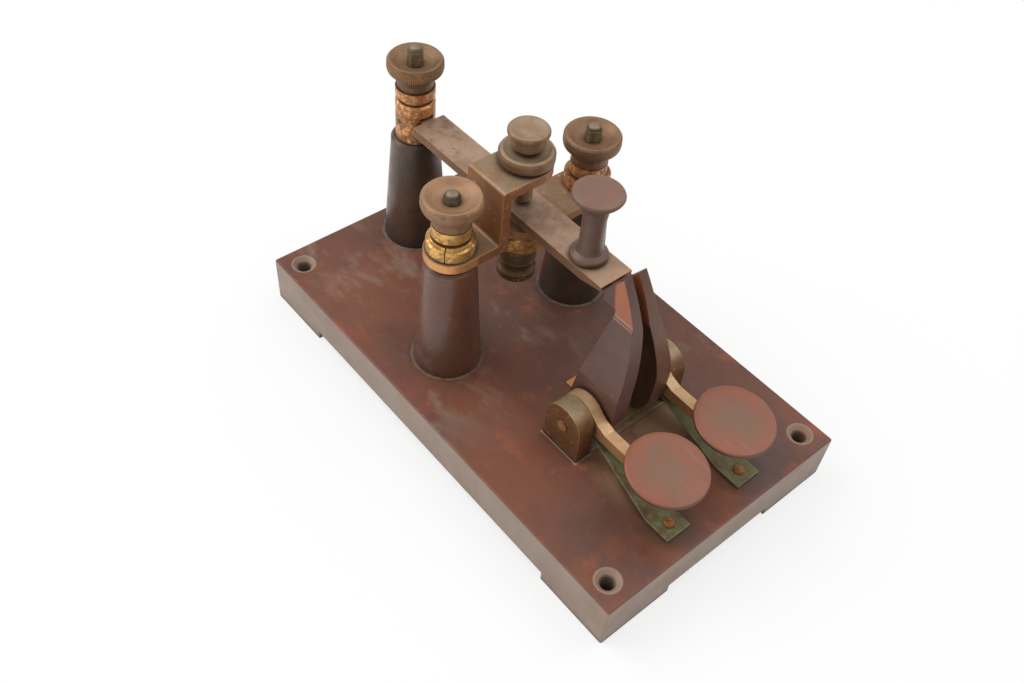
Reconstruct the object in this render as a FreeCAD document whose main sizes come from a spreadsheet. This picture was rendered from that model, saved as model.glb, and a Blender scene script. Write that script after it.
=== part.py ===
import FreeCAD, Part

import math
import os

import Sketcher
from FreeCAD import Placement, Rotation, Vector

# Discharge key of the line telegraph: a brass lever on a slotted pillar head,
# two contact screws above and below it, and two thumb discs whose arms carry
# the claws that catch the lever's end.
# Millimetres. Origin at the middle of the base's underside, X to the operator's
# right, Y from the thumb discs to the lever's pivot, Z up.

SIZES = {
    # base slab
    "base_length": 178.0,
    "base_width": 102.0,
    "base_height": 18.4,
    "base_round": 0.8,
    "foot_height": 3.5,
    "foot_length": 27.4,
    "foot_width": 28.4,
    "corner_hole": 4.5,
    "corner_hole_across": 87.4,
    "corner_hole_along": 161.7,
    "corner_countersink": 8.0,
    # fits
    "fixed_fit": 0.02,
    "running_fit": 0.05,
    "face_gap": 0.05,
    "hole_gap": 0.3,
    "nut_pocket_gap": 0.8,
    # terminal posts
    "works_offset": 0.7,
    "post_height": 44.4,
    "post_foot_radius": 11.5,
    "post_top_radius": 8.5,
    "post_round": 0.9,
    "rear_post_along": 72.9,
    "side_post_along": 16.4,
    "side_post_across": 28.4,
    # studs and what is stacked on them
    "stud_radius": 2.7,
    "stud_tip": 0.9,
    "base_nut_radius": 5.0,
    "base_nut_height": 3.8,
    "base_nut_pocket": 6.4,
    "stud_tail": 1.2,
    "rear_stud_top": 97.8,
    "left_stud_top": 89.8,
    "right_stud_top": 89.4,
    "collar_radius": 7.8,
    "left_collar_height": 5.4,
    "right_collar_height": 4.5,
    "washer_height": 1.4,
    "washer_radius": 7.0,
    "ring_radius": 6.25,
    "ring_neck_radius": 5.4,
    "ring_neck_height": 1.1,
    "ring_rim_height": 3.9,
    "rear_ring_radius": 6.8,
    "rear_ring_neck_height": 1.9,
    "rear_ring_rim_height": 3.2,
    # knurled terminal nuts
    "nut_radius": 9.6,
    "nut_height": 10.4,
    "nut_disc_height": 5.2,
    "nut_neck_radius": 6.15,
    "nut_neck_height": 3.0,
    "nut_dish": 2.2,
    "nut_edge": 0.5,
    # slotted head on the rear post
    "head_radius": 6.85,
    "head_height": 14.9,
    "head_edge": 0.7,
    "slot_width": 5.4,
    "slot_height": 5.4,
    "slot_floor": 5.3,
    "head_bolt_depth": 3.6,
    "head_stud_depth": 2.6,
    # lever and its pivot
    "pivot_rise": 7.85,
    "pivot_radius": 1.2,
    "lever_width": 12.7,
    "lever_thickness": 3.3,
    "lever_front": -26.9,
    "lever_tip": 1.4,
    "lever_bevel": 9.0,
    "shoulder_gap": 0.5,
    "tongue_width": 5.0,
    "tongue_tail": 3.2,
    # knob
    "knob_along": -14.5,
    "knob_height": 25.6,
    "knob_cap_radius": 8.1,
    "knob_cap_height": 2.3,
    "knob_stem_radius": 3.7,
    "knob_flange_radius": 6.05,
    "knob_flange_height": 2.0,
    "knob_cove": 0.8,
    "knob_cove_height": 1.1,
    "knob_cone": 0.4,
    "knob_cone_height": 3.4,
    "knob_cap_edge": 0.7,
    "knob_cap_dome": 0.2,
    "knob_screw_radius": 1.9,
    "knob_screw_depth": 11.0,
    "knob_screw_head": 3.2,
    "knob_screw_head_height": 1.3,
    # brackets that carry the contact screws
    "strip_width": 17.2,
    "upper_strip": 3.5,
    "upper_rise": 20.5,
    "web_across": 15.9,
    "bend_radius": 1.4,
    "lower_strip": 3.2,
    # contact screws and lock nuts
    "screw_radius": 3.0,
    "screw_head_radius": 6.6,
    "screw_edge": 0.5,
    "upper_screw_length": 27.6,
    "upper_screw_head_height": 2.0,
    "upper_barrel_radius": 5.45,
    "upper_barrel_height": 4.1,
    "lower_screw_length": 25.0,
    "lower_screw_head_height": 3.8,
    "lower_barrel_radius": 6.2,
    "lower_barrel_height": 9.4,
    "lock_nut_radius": 8.9,
    "lock_nut_round": 0.9,
    "upper_lock_nut_height": 4.7,
    "lower_lock_nut_height": 6.5,
    "contact_radius": 1.5,
    "contact_length": 1.0,
    "contact_proud": 0.25,
    "contact_travel": 2.4,
    "contact_gap": 0.15,
    # leaf spring under the lever
    "leaf_front": 41.0,
    "leaf_bend": 50.0,
    "leaf_back": 64.8,
    "leaf_drop": 0.9,
    "leaf_thickness": 0.5,
    "leaf_width": 8.0,
    "leaf_rivet_along": 45.0,
    "leaf_rivet_radius": 1.5,
    "leaf_rivet_head": 2.2,
    "leaf_rivet_head_height": 0.7,
    # brass frame of the triggers
    "frame_across": 47.0,
    "frame_along": 15.7,
    "frame_sink": 3.0,
    "frame_proud": 0.4,
    "frame_step": 0.8,
    "frame_step_margin": 2.0,
    "frame_tongue_width": 8.0,
    "frame_tongue_back": -18.0,
    "frame_screw_along": -22.2,
    "frame_screw_radius": 1.7,
    "frame_screw_head": 3.1,
    "frame_screw_length": 10.0,
    "lug_width": 6.5,
    "lug_screw_head_height": 2.4,
    "lug_screw_reach": 4.0,
    "lug_screw_sink": 1.0,
    "rod_along": -36.5,
    "rod_rise": 11.4,
    "rod_radius": 2.0,
    "rod_proud": 0.4,
    # trigger arms
    "arm_across": 14.8,
    "arm_width": 4.0,
    "arm_boss_radius": 7.6,
    "arm_neck_back": 4.8,
    "arm_neck_rise": 5.8,
    "arm_neck_middle": 8.3,
    "arm_neck_middle_rise": 3.1,
    "arm_neck_front": 12.0,
    "arm_under": -2.8,
    "arm_height": 4.5,
    "arm_reach": 34.7,
    "arm_end_radius": 4.2,
    "hub_radius": 6.6,
    "claw_screw_forward": 4.4,
    "claw_screw_radius": 1.0,
    "claw_screw_length": 9.0,
    # thumb discs
    "disc_radius": 13.05,
    "disc_thickness": 2.0,
    "disc_edge": 0.4,
    "disc_along": -71.8,
    "disc_rise": 39.7,
    "disc_tilt": 5.0,
    "disc_screw_radius": 2.2,
    "disc_screw_flange": 3.8,
    "disc_screw_flange_height": 1.0,
    "disc_screw_bite": 1.0,
    "disc_screw_sink": 2.4,
    # claws, sizes from the rod's axis
    "claw_heel_radius": 9.3,
    "claw_throat": 3.1,
    "claw_throat_rise": 34.7,
    "claw_hook_rise": 38.4,
    "claw_hook": 8.3,
    "claw_hook_fall": 0.2,
    "claw_nose": 8.9,
    "claw_nose_rise": 41.8,
    "claw_tip": 2.7,
    "claw_tip_rise": 50.5,
    "claw_brow": 7.8,
    "claw_brow_rise": 27.5,
    "claw_inner_low": 5.4,
    "claw_inner_high": 1.4,
    "claw_outer_low": 12.0,
    "claw_waist_rise": 12.0,
    "claw_ledge_rise": 36.2,
    "claw_ledge_outer": 5.8,
    "claw_ledge": 0.4,
    "claw_outer_high": 4.5,
    # flat springs under the arms
    "spring_across": 15.9,
    "spring_front": -82.7,
    "spring_bend": -73.0,
    "spring_back": -44.2,
    "spring_width": 10.0,
    "spring_tip_width": 3.8,
    "spring_thickness": 0.8,
    "spring_lift": 6.7,
    "spring_screw_along": -78.4,
    "spring_screw_radius": 1.5,
    "spring_screw_head": 1.9,
    "spring_screw_head_height": 1.2,
    "spring_screw_length": 9.0,
}

# Heights and seats that follow from the sizes
SEATS = {
    "post_top": "sizes.base_height + sizes.post_height",
    "lever_axis": "levels.post_top + sizes.pivot_rise",
    "lever_under": "levels.lever_axis - sizes.lever_thickness / 2",
    "lever_top": "levels.lever_axis + sizes.lever_thickness / 2",
    "lever_shoulder": "sizes.rear_post_along - sizes.head_radius - sizes.shoulder_gap",
    "post_left": "sizes.works_offset - sizes.side_post_across",
    "post_right": "sizes.works_offset + sizes.side_post_across",
    "nut_ceiling": "sizes.foot_height + sizes.base_nut_pocket",
    "stud_bottom": "levels.nut_ceiling - sizes.base_nut_height - sizes.stud_tail",
    "foot_under": "levels.post_top + sizes.washer_height",
    "foot_top": "levels.foot_under + sizes.upper_strip",
    "plate_top": "levels.foot_top + sizes.upper_rise",
    "strip_top": "levels.post_top + sizes.lower_strip",
    "head_top": "levels.post_top + sizes.head_height",
    "slot_under": "levels.post_top + sizes.slot_floor",
    "left_ring_seat": "levels.foot_top + sizes.left_collar_height",
    "right_ring_seat": "levels.strip_top + sizes.right_collar_height",
    "side_ring_height": "sizes.ring_neck_height + sizes.ring_rim_height",
    "rear_ring_height": "sizes.rear_ring_neck_height + sizes.rear_ring_rim_height",
    "upper_contact": "levels.lever_top + sizes.contact_proud + sizes.contact_gap",
    "lower_contact": "levels.lever_under - sizes.contact_proud - sizes.contact_travel"
                     " - sizes.contact_gap",
    "frame_top": "sizes.base_height + sizes.frame_proud",
    "frame_under": "sizes.base_height - sizes.frame_sink",
    "rod_height": "sizes.base_height + sizes.rod_rise",
    "lug_screw_seat": "sizes.foot_height + sizes.lug_screw_head_height + sizes.lug_screw_sink",
    "lug_across": "(sizes.frame_across - sizes.lug_width) / 2",
    "arm_inner": "sizes.arm_across - sizes.arm_width / 2",
    "arm_outer": "sizes.arm_across + sizes.arm_width / 2",
    "spring_top": "sizes.base_height + sizes.spring_thickness",
}

ALONG_X = Rotation(Vector(0, 1, 0), 90)
SIDES = {"left": -1, "right": 1}

doc = FreeCAD.newDocument("discharge_key")
sheet = doc.addObject("Spreadsheet::Sheet", "sizes")
for row, (alias, size) in enumerate(SIZES.items(), start=1):
    sheet.set(f"A{row}", alias)
    sheet.set(f"B{row}", str(size))
    sheet.setAlias(f"B{row}", alias)
doc.recompute()

levels = doc.addObject("App::VarSet", "levels")
for alias, formula in SEATS.items():
    levels.addProperty("App::PropertyFloat", alias)
    levels.setExpression(alias, formula)
doc.recompute()

parts = []


def part(thing):
    """Note a finished piece of the key."""
    parts.append(thing)
    return thing


def bind(thing, **formulas):
    """Tie properties of an object to the sheet."""
    for key, formula in formulas.items():
        thing.setExpression(key, formula)
    return thing


def place(thing, x="0", y="0", z="0"):
    """Tie an object's position to the sheet."""
    for axis, formula in (("x", x), ("y", y), ("z", z)):
        thing.setExpression(f"Placement.Base.{axis}", formula)
    return thing


def cylinder(name, radius, height, x="0", y="0", z="0", turn=Rotation()):
    """Cylinder that starts at the given place."""
    thing = doc.addObject("Part::Cylinder", name)
    thing.Placement = Placement(Vector(), turn)
    bind(thing, Radius=radius, Height=height)
    return place(thing, x, y, z)


def block(name, across, along, height, x="0", y="0", z="0"):
    """Box centred on x and y that stands on z."""
    thing = doc.addObject("Part::Box", name)
    bind(thing, Length=across, Width=along, Height=height)
    return place(thing, f"({x}) - ({across}) / 2", f"({y}) - ({along}) / 2", z)


def join(name, pieces):
    """Fuse pieces into one solid."""
    thing = doc.addObject("Part::MultiFuse", name)
    thing.Shapes = pieces
    thing.Refine = True
    return thing


def cut(name, stock, tools):
    """Cut tools out of a solid."""
    thing = doc.addObject("Part::Cut", name)
    thing.Base = stock
    thing.Tool = tools[0] if len(tools) == 1 else join(name + "_tools", tools)
    return thing


def outline(body, name, role, points):
    """Closed sketch of straight edges whose corners follow the sheet."""
    sketch = body.newObject("Sketcher::SketchObject", name)
    plane = next(item for item in body.Origin.OriginFeatures if item.Role == role)
    sketch.AttachmentSupport = (plane, [""])
    sketch.MapMode = "FlatFace"
    count = len(points)
    start = [Vector(10 * math.cos(2 * math.pi * i / count), 10 * math.sin(2 * math.pi * i / count), 0)
             for i in range(count)]
    for i in range(count):
        sketch.addGeometry(Part.LineSegment(start[i], start[(i + 1) % count]), False)
    for i in range(count):
        sketch.addConstraint(Sketcher.Constraint("Coincident", i, 2, (i + 1) % count, 1))
    for i, corner in enumerate(points):
        for kind, formula, guess in zip(("DistanceX", "DistanceY"), corner, start[i]):
            row = sketch.addConstraint(Sketcher.Constraint(kind, -1, 1, i, 1, guess))
            sketch.setExpression(f"Constraints[{row}]", formula)
    return sketch


def turned(name, profile, x="0", y="0", z="0"):
    """Body of revolution from (radius, height) corners."""
    body = doc.addObject("PartDesign::Body", name)
    sketch = outline(body, name + "_profile", "XZ_Plane", profile)
    turning = body.newObject("PartDesign::Revolution", name + "_turning")
    turning.Profile = sketch
    turning.ReferenceAxis = (sketch, ["V_Axis"])
    turning.Angle = 360
    body.Tip = turning
    return place(body, x, y, z)


def extruded(name, role, points, length, middle=False):
    """Body whose outline is pushed out by a length."""
    body = doc.addObject("PartDesign::Body", name)
    sketch = outline(body, name + "_outline", role, points)
    pad = body.newObject("PartDesign::Pad", name + "_pad")
    pad.Profile = sketch
    pad.Midplane = middle
    bind(pad, Length=length)
    body.Tip = pad
    return body


def edges_where(shape, test):
    """Names of the edges that a test accepts."""
    return [f"Edge{i}" for i, edge in enumerate(shape.Edges, start=1) if test(edge)]


def round_edges(body, test, radius):
    """Fillet on the accepted edges of a body."""
    doc.recompute()
    before = body.Tip
    fillet = body.newObject("PartDesign::Fillet", body.Name + "_round")
    fillet.Base = (before, edges_where(before.Shape, test))
    bind(fillet, Radius=radius)
    body.Tip = fillet
    return body


def near(a, b):
    return abs(a - b) < 0.01


def cheese_screw(name, radius, length, head, head_height, x, y, z, turn=1):
    """Screw with a flat head that sits on z; turn -1 points the head down."""
    profile = [("0", f"-{turn} * ({length})"), (radius, f"-{turn} * ({length})"), (radius, "0"),
               (head, "0"), (head, f"{turn} * ({head_height})"), ("0", f"{turn} * ({head_height})")]
    return turned(name, profile, x, y, z)


def countersunk(name, radius, length, head, x, y, z, grow="0"):
    """Countersunk screw, or the hole for it, with its face at z."""
    slope = f"({head}) - ({radius})"
    profile = [("0", f"-({length})"), (f"{radius} + {grow}", f"-({length})"),
               (f"{radius} + {grow}", f"-({slope}) - {grow}"), (f"{head} + {grow}", "0"), ("0", "0")]
    return turned(name, profile, x, y, z)


def make_base():
    """Ebonite slab on four feet, with its holes, pockets and the frame's recess."""
    half = ("sizes.base_width / 2", "sizes.base_length / 2")
    corners = [(f"{i} * {half[0]}", f"{j} * {half[1]}") for i, j in ((-1, -1), (1, -1), (1, 1), (-1, 1))]
    slab = extruded("base_slab", "XY_Plane", corners, "sizes.base_height")
    top = sheet.base_height
    round_edges(slab, lambda e: e.BoundBox.ZMax > top - 0.01, "sizes.base_round")
    over = 2
    relief = [
        block("base_relief_along", "sizes.base_width - 2 * sizes.foot_width",
              f"sizes.base_length + {over}", "sizes.foot_height + 1", z="-1"),
        block("base_relief_across", f"sizes.base_width + {over}",
              "sizes.base_length - 2 * sizes.foot_length", "sizes.foot_height + 1", z="-1"),
    ]
    holes = []
    for i in (-1, 1):
        for j in (-1, 1):
            x, y = f"{i} * sizes.corner_hole_across / 2", f"{j} * sizes.corner_hole_along / 2"
            holes.append(countersunk(f"corner_hole_{len(holes)}", "sizes.corner_hole / 2",
                                     "sizes.base_height + 1", "sizes.corner_countersink / 2",
                                     x, y, "sizes.base_height"))
    for key, (x, y) in POSTS.items():
        holes.append(cylinder(f"{key}_stud_hole", "sizes.stud_radius + sizes.fixed_fit",
                              "sizes.base_height + 1", x, y, "0"))
        holes.append(cylinder(f"{key}_nut_pocket", "sizes.base_nut_radius + sizes.nut_pocket_gap",
                              "levels.nut_ceiling + 1", x, y, "-1"))
    grow = "2 * sizes.fixed_fit"
    holes.append(block("frame_recess", f"sizes.frame_across + {grow}", f"sizes.frame_along + {grow}",
                       "sizes.frame_sink + 1", "0", "sizes.rod_along", "levels.frame_under"))
    holes.append(block("tongue_recess", f"sizes.frame_tongue_width + {grow}",
                       f"sizes.frame_tongue_back - sizes.rod_along + {grow}", "sizes.frame_sink + 1",
                       "0", "(sizes.frame_tongue_back + sizes.rod_along) / 2", "levels.frame_under"))
    holes.append(cylinder("frame_screw_hole", "sizes.frame_screw_radius + sizes.fixed_fit",
                          "sizes.frame_screw_length + 1", "0", "sizes.frame_screw_along",
                          "levels.frame_top - sizes.frame_screw_length - sizes.hole_gap"))
    for key, side in SIDES.items():
        x = f"{side} * levels.lug_across"
        holes.append(cylinder(f"{key}_lug_hole", "sizes.frame_screw_radius + sizes.fixed_fit",
                              "sizes.base_height + 1", x, "sizes.rod_along", "0"))
        holes.append(cylinder(f"{key}_lug_pocket", "sizes.frame_screw_head + sizes.hole_gap",
                              "levels.lug_screw_seat + 1", x, "sizes.rod_along", "-1"))
        holes.append(cylinder(f"{key}_spring_hole", "sizes.spring_screw_radius + sizes.fixed_fit",
                              "sizes.spring_screw_length + 1", f"{side} * sizes.spring_across",
                              "sizes.spring_screw_along",
                              "levels.spring_top - sizes.spring_screw_length - sizes.hole_gap"))
    part(cut("base", slab, relief + holes))


POSTS = {
    "rear": ("sizes.works_offset", "sizes.rear_post_along"),
    "left": ("levels.post_left", "sizes.side_post_along"),
    "right": ("levels.post_right", "sizes.side_post_along"),
}


def make_posts():
    """Three tapered ebonite posts, each bored for its stud."""
    bore = "sizes.stud_radius + sizes.fixed_fit"
    for key, (x, y) in POSTS.items():
        profile = [(bore, "0"), ("sizes.post_foot_radius", "0"),
                   ("sizes.post_top_radius", "sizes.post_height - sizes.post_round"),
                   ("sizes.post_top_radius - sizes.post_round", "sizes.post_height"),
                   (bore, "sizes.post_height")]
        part(turned(f"{key}_post", profile, x, y, "sizes.base_height"))


def make_stud(name, bottom, top, x, y):
    """Threaded rod with rounded ends."""
    length = f"({top} - {bottom})"
    profile = [("0", "0"), ("sizes.stud_radius", "0"),
               ("sizes.stud_radius", f"{length} - sizes.stud_tip"),
               ("sizes.stud_radius - sizes.stud_tip", length), ("0", length)]
    part(turned(name, profile, x, y, bottom))


def make_base_nut(key, x, y):
    """Hexagon nut in the pocket under the base."""
    prism = doc.addObject("Part::Prism", f"{key}_nut_hexagon")
    prism.Polygon = 6
    bind(prism, Circumradius="sizes.base_nut_radius", Height="sizes.base_nut_height")
    z = "levels.nut_ceiling - sizes.base_nut_height"
    place(prism, x, y, z)
    bore = cylinder(f"{key}_nut_bore", "sizes.stud_radius + sizes.fixed_fit",
                    "sizes.base_nut_height", x, y, z)
    part(cut(f"{key}_base_nut", prism, [bore]))


def make_ring(key, radius, neck_height, height, x, y, z):
    """Necked ring that the wire is clamped on."""
    bore = "sizes.stud_radius + sizes.fixed_fit"
    profile = [(bore, "0"), ("sizes.ring_neck_radius", "0"), ("sizes.ring_neck_radius", neck_height),
               (radius, neck_height), (radius, height), (bore, height)]
    part(turned(f"{key}_ring", profile, x, y, z))


def make_terminal_nut(key, x, y, z):
    """Dished nut: a neck, a cove and a broad disc."""
    bore = "sizes.stud_radius + sizes.running_fit"
    disc = "sizes.nut_height - sizes.nut_disc_height"
    profile = [
        (bore, "0"),
        ("sizes.nut_neck_radius", "0"),
        ("sizes.nut_neck_radius", "sizes.nut_neck_height"),
        ("sizes.nut_neck_radius + sizes.nut_edge", f"({disc} + sizes.nut_neck_height) / 2"),
        ("sizes.nut_radius - 2 * sizes.nut_edge", disc),
        ("sizes.nut_radius", f"{disc} + sizes.nut_edge"),
        ("sizes.nut_radius", "sizes.nut_height - sizes.nut_edge"),
        ("sizes.nut_radius - sizes.nut_edge", "sizes.nut_height"),
        ("sizes.nut_radius - 3 * sizes.nut_edge", "sizes.nut_height"),
        ("2 * sizes.stud_radius", "sizes.nut_height - sizes.nut_dish"),
        (bore, "sizes.nut_height - sizes.nut_dish"),
    ]
    part(turned(f"{key}_terminal_nut", profile, x, y, f"{z} + sizes.face_gap"))


def make_collar(name, radius, height, x, y, z):
    """Plain collar or washer on a stud."""
    stock = cylinder(name + "_stock", radius, height, x, y, z)
    bore = cylinder(name + "_bore", "sizes.stud_radius + sizes.fixed_fit", height, x, y, z)
    part(cut(name, stock, [bore]))


def make_terminals():
    """Studs, nuts, collars and rings of the three posts."""
    rear, left, right = POSTS["rear"], POSTS["left"], POSTS["right"]
    for key, (x, y) in POSTS.items():
        make_base_nut(key, x, y)
    make_stud("rear_bolt", "levels.stud_bottom",
              "(levels.post_top + sizes.head_bolt_depth)", *rear)
    make_stud("rear_stud", "(levels.head_top - sizes.head_stud_depth)", "sizes.rear_stud_top", *rear)
    make_stud("left_stud", "levels.stud_bottom", "sizes.left_stud_top", *left)
    make_stud("right_stud", "levels.stud_bottom", "sizes.right_stud_top", *right)
    make_collar("left_washer", "sizes.washer_radius", "sizes.washer_height", *left, "levels.post_top")
    make_collar("left_collar", "sizes.collar_radius", "sizes.left_collar_height", *left,
                "levels.foot_top")
    make_collar("right_collar", "sizes.collar_radius", "sizes.right_collar_height", *right,
                "levels.strip_top")
    make_ring("left", "sizes.ring_radius", "sizes.ring_neck_height", "levels.side_ring_height",
              *left, "levels.left_ring_seat")
    make_ring("right", "sizes.ring_radius", "sizes.ring_neck_height", "levels.side_ring_height",
              *right, "levels.right_ring_seat")
    make_ring("rear", "sizes.rear_ring_radius", "sizes.rear_ring_neck_height",
              "levels.rear_ring_height", *rear, "levels.head_top")
    make_terminal_nut("rear", *rear, "levels.head_top + levels.rear_ring_height")
    make_terminal_nut("left", *left, "levels.left_ring_seat + levels.side_ring_height")
    make_terminal_nut("right", *right, "levels.right_ring_seat + levels.side_ring_height")


def make_head():
    """Slotted brass head that the lever's tongue turns in."""
    x, y = POSTS["rear"]
    profile = [("0", "0"), ("sizes.head_radius", "0"),
               ("sizes.head_radius", "sizes.head_height - sizes.head_edge"),
               ("sizes.head_radius - sizes.head_edge", "sizes.head_height"),
               ("0", "sizes.head_height")]
    stock = turned("rear_head_stock", profile, x, y, "levels.post_top")
    bore = "sizes.stud_radius + sizes.fixed_fit"
    tools = [
        block("head_slot", "sizes.slot_width", "3 * sizes.head_radius", "sizes.slot_height",
              x, y, "levels.slot_under"),
        cylinder("head_bolt_hole", bore, "sizes.head_bolt_depth + sizes.hole_gap", x, y,
                 "levels.post_top"),
        cylinder("head_stud_hole", bore, "sizes.head_stud_depth + sizes.hole_gap", x, y,
                 "levels.head_top - sizes.head_stud_depth - sizes.hole_gap"),
        cylinder("head_pin_hole", "sizes.pivot_radius + sizes.fixed_fit", "3 * sizes.head_radius",
                 "sizes.works_offset - 1.5 * sizes.head_radius", y, "levels.lever_axis", ALONG_X),
    ]
    part(cut("rear_head", stock, tools))
    part(cylinder("lever_pin", "sizes.pivot_radius", "2 * sizes.head_radius",
                  "sizes.works_offset - sizes.head_radius", y, "levels.lever_axis", ALONG_X))


def make_lever():
    """Flat brass lever: bevelled front end, shouldered rear tongue and its holes."""
    half, tongue = "sizes.lever_width / 2", "sizes.tongue_width / 2"
    tail = "sizes.rear_post_along + sizes.tongue_tail"
    corners = [(f"-{half}", "sizes.lever_front"), (half, "sizes.lever_front"),
               (half, "levels.lever_shoulder"), (tongue, "levels.lever_shoulder"), (tongue, tail),
               (f"-{tongue}", tail), (f"-{tongue}", "levels.lever_shoulder"),
               (f"-{half}", "levels.lever_shoulder")]
    bar = extruded("lever_bar", "XY_Plane", corners, "sizes.lever_thickness")
    wedge = [("sizes.lever_front - 1", "-1"), ("sizes.lever_front + sizes.lever_bevel", "-1"),
             ("sizes.lever_front + sizes.lever_bevel", "0"),
             ("sizes.lever_front", "sizes.lever_thickness - sizes.lever_tip"),
             ("sizes.lever_front - 1", "sizes.lever_thickness - sizes.lever_tip")]
    bevel = extruded("lever_bevel", "YZ_Plane", wedge, "2 * sizes.lever_width", middle=True)
    for body in (bar, bevel):
        place(body, "sizes.works_offset", "0", "levels.lever_under")
    x = "sizes.works_offset"
    through, below = "sizes.lever_thickness + 2", "levels.lever_under - 1"
    tools = [bevel, cylinder("lever_pivot_hole", "sizes.pivot_radius + sizes.running_fit",
                             "sizes.lever_width", "sizes.works_offset - sizes.lever_width / 2",
                             "sizes.rear_post_along", "levels.lever_axis", ALONG_X)]
    for name, radius, y in (("contact", "sizes.contact_radius", "sizes.side_post_along"),
                            ("knob", "sizes.knob_screw_radius", "sizes.knob_along"),
                            ("rivet", "sizes.leaf_rivet_radius", "sizes.leaf_rivet_along")):
        tools.append(cylinder(f"lever_{name}_hole", f"{radius} + sizes.fixed_fit", through, x, y, below))
    part(cut("lever", bar, tools))
    part(cylinder("lever_contact", "sizes.contact_radius",
                  "sizes.lever_thickness + 2 * sizes.contact_proud", x, "sizes.side_post_along",
                  "levels.lever_under - sizes.contact_proud"))


def make_leaf():
    """Bent leaf spring riveted under the lever."""
    back_under = "-(sizes.leaf_drop + sizes.leaf_thickness)"
    side = [("sizes.leaf_front", "0"), ("sizes.leaf_front", "-sizes.leaf_thickness"),
            ("sizes.leaf_bend", "-sizes.leaf_thickness"), ("sizes.leaf_back", back_under),
            ("sizes.leaf_back", "-sizes.leaf_drop"), ("sizes.leaf_bend", "0")]
    strip = extruded("leaf_strip", "YZ_Plane", side, "sizes.leaf_width", middle=True)
    place(strip, "sizes.works_offset", "0", "levels.lever_under")
    hole = cylinder("leaf_hole", "sizes.leaf_rivet_radius + sizes.fixed_fit",
                    "sizes.leaf_thickness + 2", "sizes.works_offset", "sizes.leaf_rivet_along",
                    "levels.lever_under - sizes.leaf_thickness - 1")
    part(cut("lever_spring", strip, [hole]))
    part(cheese_screw("lever_spring_rivet", "sizes.leaf_rivet_radius",
                      "sizes.leaf_thickness + sizes.lever_thickness", "sizes.leaf_rivet_head",
                      "sizes.leaf_rivet_head_height", "sizes.works_offset", "sizes.leaf_rivet_along",
                      "levels.lever_under - sizes.leaf_thickness", turn=-1))


def make_knob():
    """Mushroom knob on the lever and the screw that holds it."""
    bore = "sizes.knob_screw_radius + sizes.fixed_fit"
    cap = "sizes.knob_height - sizes.knob_cap_height"
    profile = [
        (bore, "0"),
        ("sizes.knob_flange_radius", "0"),
        ("sizes.knob_flange_radius", "sizes.knob_flange_height"),
        ("sizes.knob_stem_radius + sizes.knob_cove", "sizes.knob_flange_height + sizes.knob_cove_height"),
        ("sizes.knob_stem_radius", "sizes.knob_height / 3"),
        ("sizes.knob_stem_radius", "sizes.knob_height * 3 / 5"),
        ("sizes.knob_stem_radius + sizes.knob_cone", f"{cap} - sizes.knob_cone_height"),
        ("sizes.knob_cap_radius - sizes.knob_cap_edge", cap),
        ("sizes.knob_cap_radius", f"{cap} + sizes.knob_cap_edge"),
        ("sizes.knob_cap_radius", "sizes.knob_height - sizes.knob_cap_edge - sizes.knob_cap_dome"),
        ("sizes.knob_cap_radius - sizes.knob_cap_edge", "sizes.knob_height - sizes.knob_cap_dome"),
        ("0", "sizes.knob_height"),
        ("0", "sizes.knob_screw_depth + sizes.hole_gap"),
        (bore, "sizes.knob_screw_depth + sizes.hole_gap"),
    ]
    part(turned("knob", profile, "sizes.works_offset", "sizes.knob_along", "levels.lever_top"))
    part(cheese_screw("knob_screw", "sizes.knob_screw_radius",
                      "sizes.lever_thickness + sizes.knob_screw_depth", "sizes.knob_screw_head",
                      "sizes.knob_screw_head_height", "sizes.works_offset", "sizes.knob_along",
                      "levels.lever_under", turn=-1))


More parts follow.
